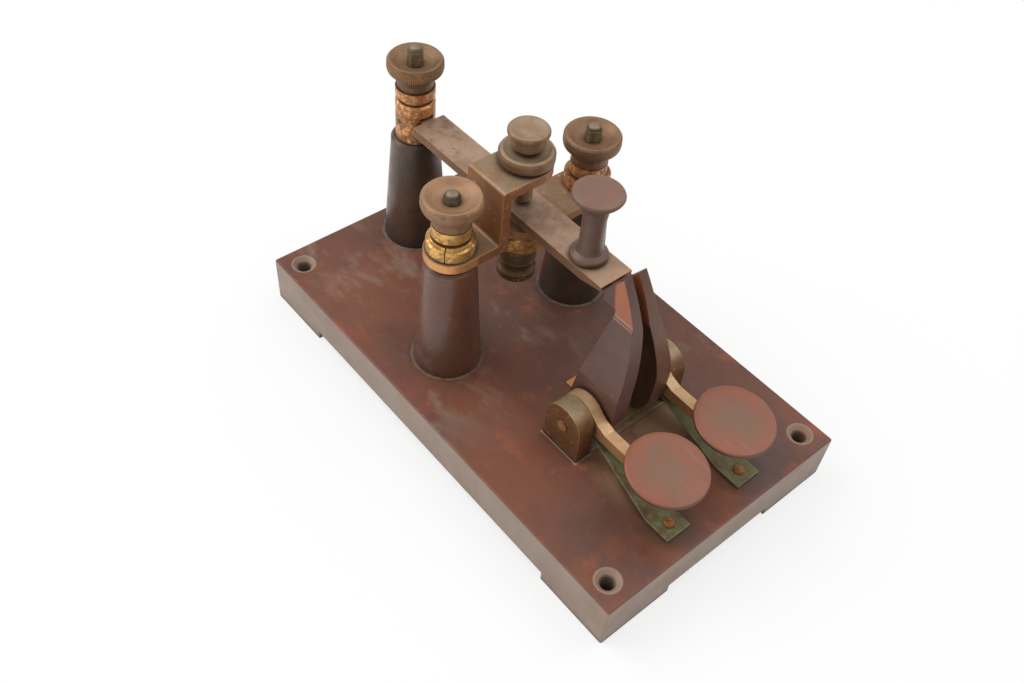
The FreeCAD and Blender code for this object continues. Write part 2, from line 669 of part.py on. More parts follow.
def make_brackets():
    """Cranked upper bracket and flat lower bracket, each bored at both ends."""
    end, web_in = "sizes.strip_width / 2", "-(sizes.web_across - sizes.upper_strip)"
    web_out, strip = "-sizes.web_across", "sizes.upper_strip"
    height = "(sizes.upper_rise + sizes.upper_strip)"
    side = [("-sizes.side_post_across", "0"), (web_in, "0"), (web_in, f"{height} - {strip}"),
            ("0", f"{height} - {strip}"), ("0", height), (web_out, height), (web_out, strip),
            ("-sizes.side_post_across", strip)]
    crank = extruded("upper_crank", "XZ_Plane", side, "sizes.strip_width", middle=True)
    bends = [-(sheet.web_across - sheet.upper_strip), -sheet.web_across]
    round_edges(crank, lambda e: any(near(e.BoundBox.XMin, x) and near(e.BoundBox.XMax, x)
                                     and e.BoundBox.YLength > 1 for x in bends), "sizes.bend_radius")
    place(crank, "sizes.works_offset", "sizes.side_post_along", "levels.foot_under")
    y, x = "sizes.side_post_along", "sizes.works_offset"
    plate_under = "levels.plate_top - sizes.upper_strip"
    stock = join("upper_bracket_stock", [
        crank,
        cylinder("upper_post_end", end, strip, "levels.post_left", y, "levels.foot_under"),
        cylinder("upper_screw_end", end, strip, x, y, plate_under),
    ])
    stud_hole, screw_hole = "sizes.stud_radius + sizes.fixed_fit", "sizes.screw_radius + sizes.running_fit"
    part(cut("upper_bracket", stock, [
        cylinder("upper_stud_hole", stud_hole, f"{strip} + 2", "levels.post_left", y,
                 "levels.foot_under - 1"),
        cylinder("upper_screw_hole", screw_hole, f"{strip} + 2", x, y, f"{plate_under} - 1"),
    ]))
    strip = "sizes.lower_strip"
    stock = join("lower_bracket_stock", [
        block("lower_strip_bar", "sizes.side_post_across", "sizes.strip_width", strip,
              "sizes.works_offset + sizes.side_post_across / 2", y, "levels.post_top"),
        cylinder("lower_post_end", end, strip, "levels.post_right", y, "levels.post_top"),
        cylinder("lower_screw_end", end, strip, x, y, "levels.post_top"),
    ])
    part(cut("lower_bracket", stock, [
        cylinder("lower_stud_hole", stud_hole, f"{strip} + 2", "levels.post_right", y,
                 "levels.post_top - 1"),
        cylinder("lower_screw_hole", screw_hole, f"{strip} + 2", x, y, "levels.post_top - 1"),
    ]))


def make_contact_screw(key, up, seat):
    """Contact screw and its tip; up is 1 when the head is above the tip."""
    shank, head, edge = "sizes.screw_radius", "sizes.screw_head_radius", "sizes.screw_edge"
    length, head_height = f"sizes.{key}_screw_length", f"sizes.{key}_screw_head_height"
    barrel, barrel_end = f"sizes.{key}_barrel_radius", f"{length} - {head_height}"
    barrel_start = f"{barrel_end} - sizes.{key}_barrel_height"
    rows = [("0", "sizes.contact_length"), (f"{shank} - {edge}", "sizes.contact_length"),
            (shank, f"sizes.contact_length + {edge}"), (shank, barrel_start),
            (f"{barrel} - {edge}", barrel_start), (barrel, f"{barrel_start} + {edge}"),
            (barrel, barrel_end), (f"{head} - {edge}", barrel_end),
            (head, f"{length} - {head_height} + {edge}"), (head, f"{length} - {edge}"),
            (f"{head} - {edge}", length), (f"{head} - 4 * {edge}", length),
            (f"{head} - 6 * {edge}", f"{length} - {edge}"), ("0", f"{length} - {edge}")]
    profile = [(radius, f"{up} * ({height})") for radius, height in rows]
    x, y = "sizes.works_offset", "sizes.side_post_along"
    part(turned(f"{key}_contact_screw", profile, x, y, seat))
    tip = seat if up > 0 else f"{seat} - sizes.contact_length"
    part(cylinder(f"{key}_contact_tip", "sizes.contact_radius", "sizes.contact_length", x, y, tip))


def make_lock_nut(key, height, z):
    """Round knurled lock nut with softened shoulders."""
    bore = "sizes.screw_radius + sizes.running_fit"
    rim, soft = "sizes.lock_nut_radius", "sizes.lock_nut_round"
    profile = [(bore, "0"), (f"{rim} - {soft}", "0"), (rim, f"{soft} / 2"),
               (rim, f"{height} - {soft}"), (f"{rim} - {soft}", height), (bore, height)]
    part(turned(f"{key}_lock_nut", profile, "sizes.works_offset", "sizes.side_post_along", z))


def make_contacts():
    """Contact screws above and below the lever, with their lock nuts."""
    make_contact_screw("upper", 1, "levels.upper_contact")
    make_contact_screw("lower", -1, "levels.lower_contact")
    make_lock_nut("upper", "sizes.upper_lock_nut_height", "levels.plate_top + sizes.face_gap")
    make_lock_nut("lower", "sizes.lower_lock_nut_height",
                  "levels.post_top - sizes.face_gap - sizes.lower_lock_nut_height")


def make_frame():
    """Brass frame let into the base: stepped plate, rear tongue and two lugs, and its screws."""
    y, z = "sizes.rod_along", "levels.rod_height"
    height = "(sizes.frame_sink + sizes.frame_proud)"
    pieces = [
        block("frame_plate", "sizes.frame_across", "sizes.frame_along", height, "0", y,
              "levels.frame_under"),
        block("frame_tongue", "sizes.frame_tongue_width", "sizes.frame_tongue_back - sizes.rod_along",
              height, "0", "(sizes.frame_tongue_back + sizes.rod_along) / 2", "levels.frame_under"),
        block("frame_raised", "sizes.frame_across - 2 * sizes.lug_width",
              "sizes.frame_along - 2 * sizes.frame_step_margin", f"{height} + sizes.frame_step",
              "0", y, "levels.frame_under"),
    ]
    tools = [
        cylinder("frame_rod_hole", "sizes.rod_radius + sizes.fixed_fit", "sizes.frame_across + 2",
                 "-sizes.frame_across / 2 - 1", y, z, ALONG_X),
        countersunk("frame_countersink", "sizes.frame_screw_radius", "sizes.frame_screw_length",
                    "sizes.frame_screw_head", "0", "sizes.frame_screw_along", "levels.frame_top",
                    grow="sizes.fixed_fit"),
    ]
    for key, side in SIDES.items():
        x = f"{side} * levels.lug_across"
        pieces.append(block(f"{key}_lug", "sizes.lug_width", "sizes.frame_along",
                            "levels.rod_height - levels.frame_under", x, y, "levels.frame_under"))
        pieces.append(cylinder(f"{key}_lug_top", "sizes.frame_along / 2", "sizes.lug_width",
                               f"{x} - sizes.lug_width / 2", y, z, ALONG_X))
        tools.append(cylinder(f"{key}_lug_screw_hole", "sizes.frame_screw_radius + sizes.fixed_fit",
                              f"{height} + sizes.lug_screw_reach + 1.2", x, y, "levels.frame_under - 1"))
    part(cut("trigger_frame", join("frame_stock", pieces), tools))
    part(countersunk("frame_screw_rear", "sizes.frame_screw_radius", "sizes.frame_screw_length",
                     "sizes.frame_screw_head", "0", "sizes.frame_screw_along", "levels.frame_top"))
    for key, side in SIDES.items():
        part(cheese_screw(f"frame_screw_{key}", "sizes.frame_screw_radius",
                          "levels.frame_top + sizes.lug_screw_reach - levels.lug_screw_seat",
                          "sizes.frame_screw_head", "sizes.lug_screw_head_height",
                          f"{side} * levels.lug_across", y, "levels.lug_screw_seat", turn=-1))
    part(cylinder("pivot_rod", "sizes.rod_radius", "sizes.frame_across + 2 * sizes.rod_proud",
                  "-sizes.frame_across / 2 - sizes.rod_proud", y, z, ALONG_X))


def disc_axis(side, drop):
    """Place on a thumb disc's axis, a distance below its top face."""
    lean = math.radians(sheet.disc_tilt)
    return (f"{side} * sizes.arm_across",
            f"sizes.disc_along + ({drop}) * {math.sin(lean)}",
            f"sizes.disc_rise - ({drop}) * {math.cos(lean)}")


def make_disc(key, side):
    """Thumb disc, tilted down at the front, and the screw stem under it."""
    lean = Rotation(Vector(1, 0, 0), sheet.disc_tilt)
    rim, edge = "sizes.disc_radius", "sizes.disc_edge"
    profile = [("0", "0"), (f"{rim} - {edge}", "0"), (rim, edge),
               (rim, f"sizes.disc_thickness - {edge}"), (f"{rim} - {edge}", "sizes.disc_thickness"),
               ("0", "sizes.disc_thickness")]
    stock = turned(f"{key}_disc_stock", profile, *disc_axis(side, "sizes.disc_thickness"))
    bite = cylinder(f"{key}_disc_bite", "sizes.disc_screw_radius + sizes.fixed_fit",
                    "sizes.disc_screw_bite + 1", *disc_axis(side, "sizes.disc_thickness + 1"))
    part(cut(f"{key}_disc", stock, [bite]))
    under = "(sizes.disc_thickness - sizes.disc_screw_bite)"
    reach = "(sizes.disc_rise - levels.rod_height - sizes.arm_under - sizes.arm_height" \
            " + sizes.disc_screw_sink)"
    flange = f"{reach} - sizes.disc_thickness"
    stem = [("0", "0"), ("sizes.disc_screw_radius", "0"),
            ("sizes.disc_screw_radius", f"{flange} - sizes.disc_screw_flange_height"),
            ("sizes.disc_screw_flange", f"{flange} - sizes.disc_screw_flange_height"),
            ("sizes.disc_screw_flange", flange), ("sizes.disc_screw_radius", flange),
            ("sizes.disc_screw_radius", f"{reach} - {under}"), ("0", f"{reach} - {under}")]
    screw = part(turned(f"{key}_disc_screw", stem, *disc_axis(side, reach)))
    socket = cylinder(f"{key}_disc_socket", "sizes.disc_screw_radius + sizes.fixed_fit",
                      "sizes.disc_screw_sink + 3",
                      *disc_axis(side, f"{reach} + sizes.running_fit"))
    for thing in (stock, bite, screw, socket):
        thing.Placement = Placement(thing.Placement.Base, lean)
    return socket


def make_arm(key, side, socket):
    """Brass arm from the rod forward to the disc, and the hub beside it."""
    inner = f"{side} * sizes.arm_across - sizes.arm_width / 2"
    y, z = "sizes.rod_along", "levels.rod_height"
    bar_top = "sizes.arm_under + sizes.arm_height"
    side_view = [("0", "0"), ("-sizes.arm_neck_back", "sizes.arm_neck_rise"),
                 ("-sizes.arm_neck_middle", "sizes.arm_neck_middle_rise"),
                 ("-sizes.arm_neck_front", bar_top), ("-sizes.arm_neck_front", "sizes.arm_under"),
                 ("-sizes.arm_neck_back", "sizes.arm_under")]
    neck = extruded(f"{key}_arm_neck", "YZ_Plane", side_view, "sizes.arm_width", middle=True)
    place(neck, f"{side} * sizes.arm_across", y, z)
    stock = join(f"{key}_arm_stock", [
        neck,
        cylinder(f"{key}_arm_boss", "sizes.arm_boss_radius", "sizes.arm_width", inner, y, z, ALONG_X),
        block(f"{key}_arm_bar", "sizes.arm_width", "sizes.arm_reach", "sizes.arm_height",
              f"{side} * sizes.arm_across", "sizes.rod_along - sizes.arm_reach / 2",
              "levels.rod_height + sizes.arm_under"),
        cylinder(f"{key}_arm_end", "sizes.arm_end_radius", "sizes.arm_height",
                 f"{side} * sizes.arm_across", "sizes.rod_along - sizes.arm_reach",
                 "levels.rod_height + sizes.arm_under"),
    ])
    run = "sizes.rod_radius + sizes.running_fit"
    screw = "sizes.claw_screw_radius + sizes.fixed_fit"
    forward = "sizes.rod_along - sizes.claw_screw_forward"
    part(cut(f"{key}_arm", stock, [
        cylinder(f"{key}_arm_bore", run, "sizes.arm_width + 2", f"{inner} - 1", y, z, ALONG_X),
        cylinder(f"{key}_arm_screw_hole", screw, "sizes.arm_width + 2", f"{inner} - 1", forward, z,
                 ALONG_X),
        socket,
    ]))
    width = "(levels.arm_inner - sizes.claw_outer_low)"
    start = "sizes.claw_outer_low" if side > 0 else "-levels.arm_inner"
    part(cut(f"{key}_hub", cylinder(f"{key}_hub_stock", "sizes.hub_radius", width, start, y, z, ALONG_X), [
        cylinder(f"{key}_hub_bore", run, f"{width} + 2", f"{start} - 1", y, z, ALONG_X),
        cylinder(f"{key}_hub_screw_hole", screw, f"{width} + 2", f"{start} - 1", forward, z, ALONG_X),
    ]))
    start = "levels.arm_outer - sizes.claw_screw_length" if side > 0 else "-levels.arm_outer"
    part(cylinder(f"{key}_claw_screw", "sizes.claw_screw_radius", "sizes.claw_screw_length", start,
                  forward, z, ALONG_X))


def claw_side():
    """Side face of a claw about the rod's axis: round heel, throat, hook, nose, tip and brow."""
    heel, tip = sheet.claw_heel_radius, Vector(0, sheet.claw_tip, sheet.claw_tip_rise)
    corners = [Vector(0, heel, 0), Vector(0, sheet.claw_throat, sheet.claw_throat_rise),
               Vector(0, sheet.claw_throat, sheet.claw_hook_rise),
               Vector(0, sheet.claw_hook, sheet.claw_hook_rise + sheet.claw_hook_fall),
               Vector(0, sheet.claw_nose, sheet.claw_nose_rise), tip]
    edges = [Part.LineSegment(a, b).toShape() for a, b in zip(corners, corners[1:])]
    brow = Vector(0, -sheet.claw_brow, sheet.claw_brow_rise)
    edges.append(Part.Arc(tip, brow, Vector(0, -heel, 0)).toShape())
    edges.append(Part.Arc(Vector(0, -heel, 0), Vector(0, 0, -heel), Vector(0, heel, 0)).toShape())
    return Part.Face(Part.Wire(edges))


def claw_front(side):
    """Front face of a claw: upright at the heel, leaning in from the waist, thinned above the ledge."""
    low, high = -sheet.claw_heel_radius - 1, sheet.claw_tip_rise + 1
    rows = [(sheet.claw_inner_low, low), (sheet.claw_outer_low, low),
            (sheet.claw_outer_low, sheet.claw_waist_rise),
            (sheet.claw_ledge_outer, sheet.claw_ledge_rise),
            (sheet.claw_ledge_outer - sheet.claw_ledge, sheet.claw_ledge_rise),
            (sheet.claw_outer_high, high), (sheet.claw_inner_high, high),
            (sheet.claw_inner_high, sheet.claw_throat_rise),
            (sheet.claw_inner_low, sheet.claw_waist_rise)]
    corners = [Vector(side * x, 0, z) for x, z in rows]
    return Part.Face(Part.makePolygon(corners + corners[:1]))


def make_claw(key, side):
    """Ebonite claw that stands on the rod and catches the lever's end."""
    span = 2 * sheet.claw_outer_low
    depth = 2 * (sheet.claw_heel_radius + sheet.claw_nose)
    flank = claw_side()
    flank.translate(Vector(-span, 0, 0))
    face = claw_front(side)
    face.translate(Vector(0, -depth, 0))
    shape = flank.extrude(Vector(2 * span, 0, 0)).common(face.extrude(Vector(0, 2 * depth, 0)))
    bore = sheet.rod_radius + sheet.running_fit
    hole = sheet.claw_screw_radius + sheet.fixed_fit
    start = levels.arm_outer - sheet.claw_screw_length - sheet.hole_gap
    shape = shape.cut(Part.makeCylinder(bore, 2 * span, Vector(-span, 0, 0), Vector(1, 0, 0)))
    shape = shape.cut(Part.makeCylinder(hole, span, Vector(side * start, -sheet.claw_screw_forward, 0),
                                        Vector(side, 0, 0)))
    claw = doc.addObject("Part::Feature", f"{key}_claw")
    claw.Shape = shape.Solids[0]
    claw.Placement = Placement(Vector(0, sheet.rod_along, levels.rod_height), Rotation())
    part(claw)


def make_spring(key, side):
    """Tapered flat spring that rises from its screw to the underside of the arm."""
    middle = f"{side} * sizes.spring_across"
    wide, slim = "sizes.spring_width / 2", "sizes.spring_tip_width / 2"
    tip_x = f"{side} * (sizes.arm_across - sizes.spring_across)"
    plan = [(f"-{wide}", "sizes.spring_front"), (wide, "sizes.spring_front"),
            (wide, "sizes.spring_bend"), (f"{tip_x} + {slim}", "sizes.spring_back"),
            (f"{tip_x} - {slim}", "sizes.spring_back"), (f"-{wide}", "sizes.spring_bend")]
    thick, lift = "sizes.spring_thickness", "sizes.spring_lift"
    side_view = [("sizes.spring_front", "0"), ("sizes.spring_bend", "0"), ("sizes.spring_back", lift),
                 ("sizes.spring_back", f"{lift} + {thick}"), ("sizes.spring_bend", thick),
                 ("sizes.spring_front", thick)]
    flat = extruded(f"{key}_spring_plan", "XY_Plane", plan, "2 * sizes.spring_lift + 5")
    bent = extruded(f"{key}_spring_bend", "YZ_Plane", side_view, "2 * sizes.spring_width", middle=True)
    place(flat, middle, "0", "sizes.base_height - 1")
    place(bent, middle, "0", "sizes.base_height")
    strip = doc.addObject("Part::Common", f"{key}_spring_strip")
    strip.Base, strip.Tool = bent, flat
    hole = cylinder(f"{key}_spring_screw_hole", "sizes.spring_screw_radius + sizes.fixed_fit", "4",
                    middle, "sizes.spring_screw_along", "sizes.base_height - 1")
    part(cut(f"{key}_spring", strip, [hole]))
    part(cheese_screw(f"{key}_spring_screw", "sizes.spring_screw_radius", "sizes.spring_screw_length",
                      "sizes.spring_screw_head", "sizes.spring_screw_head_height", middle,
                      "sizes.spring_screw_along", "levels.spring_top"))


def check_all():
    """Stop if any object failed or any piece has no sound shape."""
    doc.recompute()
    for thing in doc.Objects:
        if {"Invalid", "Error"} & set(thing.State):
            raise RuntimeError(f"{thing.Label} failed: {thing.State}")
    for thing in parts:
        if thing.Shape.isNull() or not thing.Shape.isValid():
            raise RuntimeError(f"{thing.Label} has no valid shape")
        if len(thing.Shape.Solids) != 1:
            raise RuntimeError(f"{thing.Label} is {len(thing.Shape.Solids)} solids")


def main():
    make_base()
    make_posts()
    make_head()
    make_terminals()
    make_lever()
    make_leaf()
    make_knob()
    make_brackets()
    make_contacts()
    make_frame()
    for key, side in SIDES.items():
        make_arm(key, side, make_disc(key, side))
        make_claw(key, side)
        make_spring(key, side)
    check_all()
    os.makedirs("parts", exist_ok=True)
    for thing in parts:
        thing.Shape.exportStep(f"parts/{thing.Label}.step")
    print(f"{len(parts)} pieces written")


main()
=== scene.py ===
import math

import bmesh
import bpy
from mathutils import Matrix, Vector


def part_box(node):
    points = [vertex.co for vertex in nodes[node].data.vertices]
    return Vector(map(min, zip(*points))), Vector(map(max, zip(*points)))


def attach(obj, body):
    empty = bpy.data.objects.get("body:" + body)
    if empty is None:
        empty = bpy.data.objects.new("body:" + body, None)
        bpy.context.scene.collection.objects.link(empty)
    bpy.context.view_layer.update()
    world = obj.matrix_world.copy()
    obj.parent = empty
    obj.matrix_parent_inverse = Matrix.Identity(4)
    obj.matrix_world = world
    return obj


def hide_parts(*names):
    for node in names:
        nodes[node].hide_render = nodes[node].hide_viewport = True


# Looks of the discharge key: aged hard rubber, patinated brass, knurls, threads and
# slotted screws. Lengths are millimetres, except on the stage and where a comment says
# otherwise; MM turns them into Blender's metres.

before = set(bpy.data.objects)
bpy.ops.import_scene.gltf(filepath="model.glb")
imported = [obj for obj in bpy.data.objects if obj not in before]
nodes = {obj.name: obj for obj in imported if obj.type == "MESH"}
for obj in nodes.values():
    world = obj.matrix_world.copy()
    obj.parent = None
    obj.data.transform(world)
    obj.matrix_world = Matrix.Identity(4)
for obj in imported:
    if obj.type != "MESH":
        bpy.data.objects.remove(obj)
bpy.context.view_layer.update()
MM = 0.001


# Places, taken from the CAD nodes

def bounds_mm(node):
    """Middle x, middle y, lowest z, highest z and half width of a node, in millimetres."""
    low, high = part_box(node)
    low, high = low / MM, high / MM
    return (low.x + high.x) / 2, (low.y + high.y) / 2, low.z, high.z, (high.x - low.x) / 2


def middle_mm(node):
    """Middle of a node in plan, in millimetres."""
    return bounds_mm(node)[:2]


POST_PLACES = {key: middle_mm(f"{key}_post") for key in ("rear", "left", "right")}
DISC_PLACES = {key: middle_mm(f"{key}_disc") for key in ("left", "right")}
SPRING_SCREW_PLACES = [middle_mm(f"{key}_spring_screw") for key in ("left", "right")]
FRAME_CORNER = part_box("trigger_frame")[0] / MM
# Where the knob's stem rises from its foot flange
STEM_FOOT = bounds_mm("knob")[2] + 4.7
# The holes, and the throat and ledge near the claws' tips, aren't nodes of their own
CORNER_HOLE_ACROSS, CORNER_HOLE_ALONG = 43.7, 80.85
CLAW_THROAT, CLAW_LEDGE = 64.5, 66.0


# Materials

def srgb(r, g, b):
    """Linear colour from 0-255 screen values."""
    def channel(v):
        v /= 255
        return v / 12.92 if v <= 0.04045 else ((v + 0.055) / 1.055) ** 2.4
    return (channel(r), channel(g), channel(b), 1.0)


class Paint:
    """Small builder for a node material on object coordinates; noise scales are per metre."""

    # Colour sockets of the mix node
    MIX_FIRST, MIX_SECOND, MIX_RESULT = 6, 7, 2

    def __init__(self, name):
        self.material = bpy.data.materials.new(name)
        self.material.use_nodes = True
        self.tree = self.material.node_tree
        self.shader = self.tree.nodes["Principled BSDF"]
        self.place = self.node("ShaderNodeTexCoord").outputs["Object"]

    def node(self, kind, **settings):
        made = self.tree.nodes.new(kind)
        for key, value in settings.items():
            setattr(made, key, value)
        return made

    def join(self, value, socket):
        """Link a socket, or set a plain value."""
        if isinstance(value, bpy.types.NodeSocket):
            self.tree.links.new(value, socket)
        else:
            socket.default_value = value

    def noise(self, scale, detail=4, rough=0.55, stretch=None, offset=0.0):
        place = self.place
        if stretch or offset:
            mapping = self.node("ShaderNodeMapping")
            self.join(place, mapping.inputs["Vector"])
            mapping.inputs["Location"].default_value = (offset, offset, offset)
            mapping.inputs["Scale"].default_value = stretch or (1, 1, 1)
            place = mapping.outputs["Vector"]
        made = self.node("ShaderNodeTexNoise")
        self.join(place, made.inputs["Vector"])
        made.inputs["Scale"].default_value = scale
        made.inputs["Detail"].default_value = detail
        made.inputs["Roughness"].default_value = rough
        return made.outputs["Fac"]

    def cells(self, scale):
        made = self.node("ShaderNodeTexVoronoi")
        self.join(self.place, made.inputs["Vector"])
        made.inputs["Scale"].default_value = scale
        return made.outputs["Distance"]

    def ramp(self, value, low, high, out_low=0.0, out_high=1.0):
        """Smooth step between two values."""
        made = self.node("ShaderNodeMapRange", interpolation_type="SMOOTHSTEP")
        self.join(value, made.inputs["Value"])
        for key, number in (("From Min", low), ("From Max", high), ("To Min", out_low),
                            ("To Max", out_high)):
            made.inputs[key].default_value = number
        return made.outputs["Result"]

    def math(self, operation, *values):
        made = self.node("ShaderNodeMath", operation=operation)
        for value, socket in zip(values, made.inputs):
            self.join(value, socket)
        return made.outputs["Value"]

    def mix(self, factor, a, b):
        made = self.node("ShaderNodeMix", data_type="RGBA")
        self.join(factor, made.inputs["Factor"])
        self.join(a, made.inputs[self.MIX_FIRST])
        self.join(b, made.inputs[self.MIX_SECOND])
        return made.outputs[self.MIX_RESULT]

    def crevice(self, distance):
        """1 deep in corners, 0 on open faces; the distance is in millimetres."""
        made = self.node("ShaderNodeAmbientOcclusion", samples=8)
        made.inputs["Distance"].default_value = distance * MM
        return self.ramp(made.outputs["AO"], 0.95, 0.45)

    def edge(self, radius):
        """1 on worn edges, 0 on flat faces; the radius is in millimetres."""
        bevel = self.node("ShaderNodeBevel", samples=6)
        bevel.inputs["Radius"].default_value = radius * MM
        normal = self.node("ShaderNodeNewGeometry").outputs["Normal"]
        dot = self.node("ShaderNodeVectorMath", operation="DOT_PRODUCT")
        self.join(bevel.outputs["Normal"], dot.inputs[0])
        self.join(normal, dot.inputs[1])
        return self.ramp(dot.outputs["Value"], 0.995, 0.9)

    def facing(self, which):
        """How far the surface faces along an axis, from -1 to 1."""
        split = self.node("ShaderNodeSeparateXYZ")
        self.join(self.node("ShaderNodeNewGeometry").outputs["Normal"], split.inputs[0])
        return split.outputs[which]

    def axis(self, which):
        """One object coordinate, in metres."""
        split = self.node("ShaderNodeSeparateXYZ")
        self.join(self.place, split.inputs[0])
        return split.outputs[which]

    def past(self, which, start, end):
        """0 before one place on an axis and 1 beyond the other, in millimetres."""
        return self.ramp(self.axis(which), start * MM, end * MM)

    def both(self, *factors):
        """Product of several masks."""
        whole = factors[0]
        for factor in factors[1:]:
            whole = self.math("MULTIPLY", whole, factor)
        return whole

    def band(self, which, low, high, soft=0.5):
        """1 between two places on an axis, in millimetres."""
        rise = self.past(which, low - soft, low + soft)
        fall = self.past(which, high + soft, high - soft)
        return self.math("MULTIPLY", rise, fall)

    def away(self, x, y):
        """Distance in plan from a vertical line, in metres."""
        shift = self.node("ShaderNodeVectorMath", operation="SUBTRACT")
        self.join(self.place, shift.inputs[0])
        shift.inputs[1].default_value = (x * MM, y * MM, 0)
        flat = self.node("ShaderNodeVectorMath", operation="MULTIPLY")
        self.join(shift.outputs["Vector"], flat.inputs[0])
        flat.inputs[1].default_value = (1, 1, 0)
        length = self.node("ShaderNodeVectorMath", operation="LENGTH")
        self.join(flat.outputs["Vector"], length.inputs[0])
        return length.outputs["Value"]

    def ring(self, x, y, inner, outer, soft=0.3):
        """1 between two radii in plan about a place, in millimetres."""
        distance = self.away(x, y)
        rise = self.ramp(distance, (inner - soft) * MM, (inner + soft) * MM)
        fall = self.ramp(distance, (outer + soft) * MM, (outer - soft) * MM)
        return self.math("MULTIPLY", rise, fall)

    def bump(self, height, strength, distance, before=None):
        """Relief of a height map, its distance in millimetres, over an earlier relief."""
        made = self.node("ShaderNodeBump")
        made.inputs["Strength"].default_value = strength
        made.inputs["Distance"].default_value = distance * MM
        self.join(height, made.inputs["Height"])
        if before:
            self.join(before, made.inputs["Normal"])
        return made.outputs["Normal"]

    def finish(self, colour, rough, normal=None, metallic=0.0):
        self.join(colour, self.shader.inputs["Base Color"])
        self.join(rough, self.shader.inputs["Roughness"])
        self.join(metallic, self.shader.inputs["Metallic"])
        if normal:
            self.join(normal, self.shader.inputs["Normal"])
        return self.material


def hard_rubber(name, cool, warm, pale, patch=24.0, stain=0.5, rough=(0.42, 0.6), rubbed=0.3, offset=0.0,
                extra=None):
    """Aged ebonite: cool and warm clouds, pale film, rubbed edges and painted shade in crevices; extra adds
    marks of its own.
    """
    paint = Paint(name)
    clouds = paint.ramp(paint.noise(patch, 5, 0.6, offset=offset), 0.38, 0.62)
    colour = paint.mix(clouds, cool, warm)
    mottle = paint.ramp(paint.noise(patch * 7, 5, 0.65, offset=offset + 3), 0.35, 0.7, 0.0, 0.4)
    colour = paint.mix(mottle, colour, cool)
    film = paint.ramp(paint.noise(patch * 2.6, 6, 0.7, offset=offset + 7), 0.56, 0.74, 0.0, stain)
    colour = paint.mix(film, colour, pale)
    specks = paint.ramp(paint.noise(900, 2, 0.5, offset=offset), 0.70, 0.76, 0.0, 0.4)
    colour = paint.mix(specks, colour, pale)
    if extra:
        colour = extra(paint, colour)
    worn = paint.math("MULTIPLY", paint.edge(0.6), rubbed)
    colour = paint.mix(worn, colour, pale)
    # Painted shade: darker in crevices, from ambient occlusion
    crevice_shade = paint.math("MULTIPLY", paint.crevice(4), 0.5)
    colour = paint.mix(crevice_shade, colour, srgb(38, 26, 18))
    rough_map = paint.ramp(paint.noise(patch * 4, 4, 0.6, offset=offset + 1), 0.3, 0.7, *rough)
    grain = paint.noise(1500, 3, 0.6)
    normal = paint.bump(grain, 0.12, 0.2)
    normal = paint.bump(paint.noise(220, 3, 0.5), 0.08, 0.6, normal)
    return paint.finish(colour, rough_map, normal)


def base_clouds(paint, colour):
    """Warm left and front, smoke at the front, rust, and a grey smear at the rear left."""
    cloudy = paint.ramp(paint.noise(30, 5, 0.6, offset=13), 0.3, 0.6)
    left = paint.past("X", 4, -34)
    front = paint.past("Y", -44, -78)
    warm_zone = paint.both(paint.math("MAXIMUM", left, front), cloudy, 0.6)
    colour = paint.mix(warm_zone, colour, srgb(128, 72, 48))
    smoke = paint.both(front, paint.ramp(paint.noise(34, 5, 0.65, offset=29), 0.42, 0.62), 0.7)
    colour = paint.mix(smoke, colour, srgb(78, 56, 50))
    rusty = paint.both(paint.ramp(paint.noise(52, 5, 0.7, offset=17), 0.56, 0.68), 0.5)
    colour = paint.mix(rusty, colour, srgb(150, 76, 44))
    smear = paint.ramp(paint.noise(46, 6, 0.7, stretch=(1, 0.5, 1), offset=21), 0.5, 0.66)
    rear = paint.both(paint.past("Y", -30, 10), paint.past("X", 30, -10))
    return paint.mix(paint.both(smear, rear, 0.5), colour, srgb(146, 130, 112))


def trigger_stains(paint, colour):
    """Tan dust before the trigger frame, a painted highlight along the edge round its left lug, dark stains
    by the springs.
    """
    dust = paint.ramp(paint.noise(90, 5, 0.65, offset=5), 0.2, 0.55)
    tan = paint.both(paint.band("X", -22, 22, 4), paint.band("Y", -66, -42, 6), dust)
    colour = paint.mix(paint.both(tan, 0.9), colour, srgb(138, 104, 76))
    # Painted highlight: a pale line just outside the frame plate's edges by its left lug
    left, front, line = FRAME_CORNER.x, FRAME_CORNER.y, 0.6
    side = paint.both(paint.band("X", left - line, left, 0.15), paint.band("Y", front - line, -28, 0.5))
    end = paint.both(paint.band("Y", front - line, front, 0.15), paint.band("X", left - line, -17, 0.5))
    colour = paint.mix(paint.both(paint.math("MAXIMUM", side, end), 0.7), colour, srgb(180, 164, 140))
    forward = 0.6
    for x, y in SPRING_SCREW_PLACES:
        stain = paint.both(paint.ring(x, y - forward, 0, 8.5, 2.5), 0.55)
        colour = paint.mix(stain, colour, srgb(60, 42, 28))
    return colour


def dust_rings(paint, colour):
    """Pale dust round the posts' feet and in the countersinks of the corner holes."""
    for x, y in POST_PLACES.values():
        ring = paint.both(paint.ring(x, y, 11.4, 12.5), paint.ramp(paint.noise(240, 3, 0.6), 0.3, 0.55))
        colour = paint.mix(paint.both(ring, 0.55), colour, srgb(150, 132, 114))
    for x in (-CORNER_HOLE_ACROSS, CORNER_HOLE_ACROSS):
        for y in (-CORNER_HOLE_ALONG, CORNER_HOLE_ALONG):
            colour = paint.mix(paint.both(paint.ring(x, y, 2.6, 4.4), 0.6), colour, srgb(172, 150, 130))
    return colour


def base_marks(paint, colour):
    """All marks of the base, and its greyer sides."""
    for marks in (base_clouds, trigger_stains, dust_rings):
        colour = marks(paint, colour)
    flank = paint.both(paint.ramp(paint.facing("Z"), 0.75, 0.35),
                       paint.ramp(paint.noise(38, 5, 0.65, offset=8), 0.25, 0.6, 0.72, 0.95))
    return paint.mix(flank, colour, srgb(146, 128, 114))


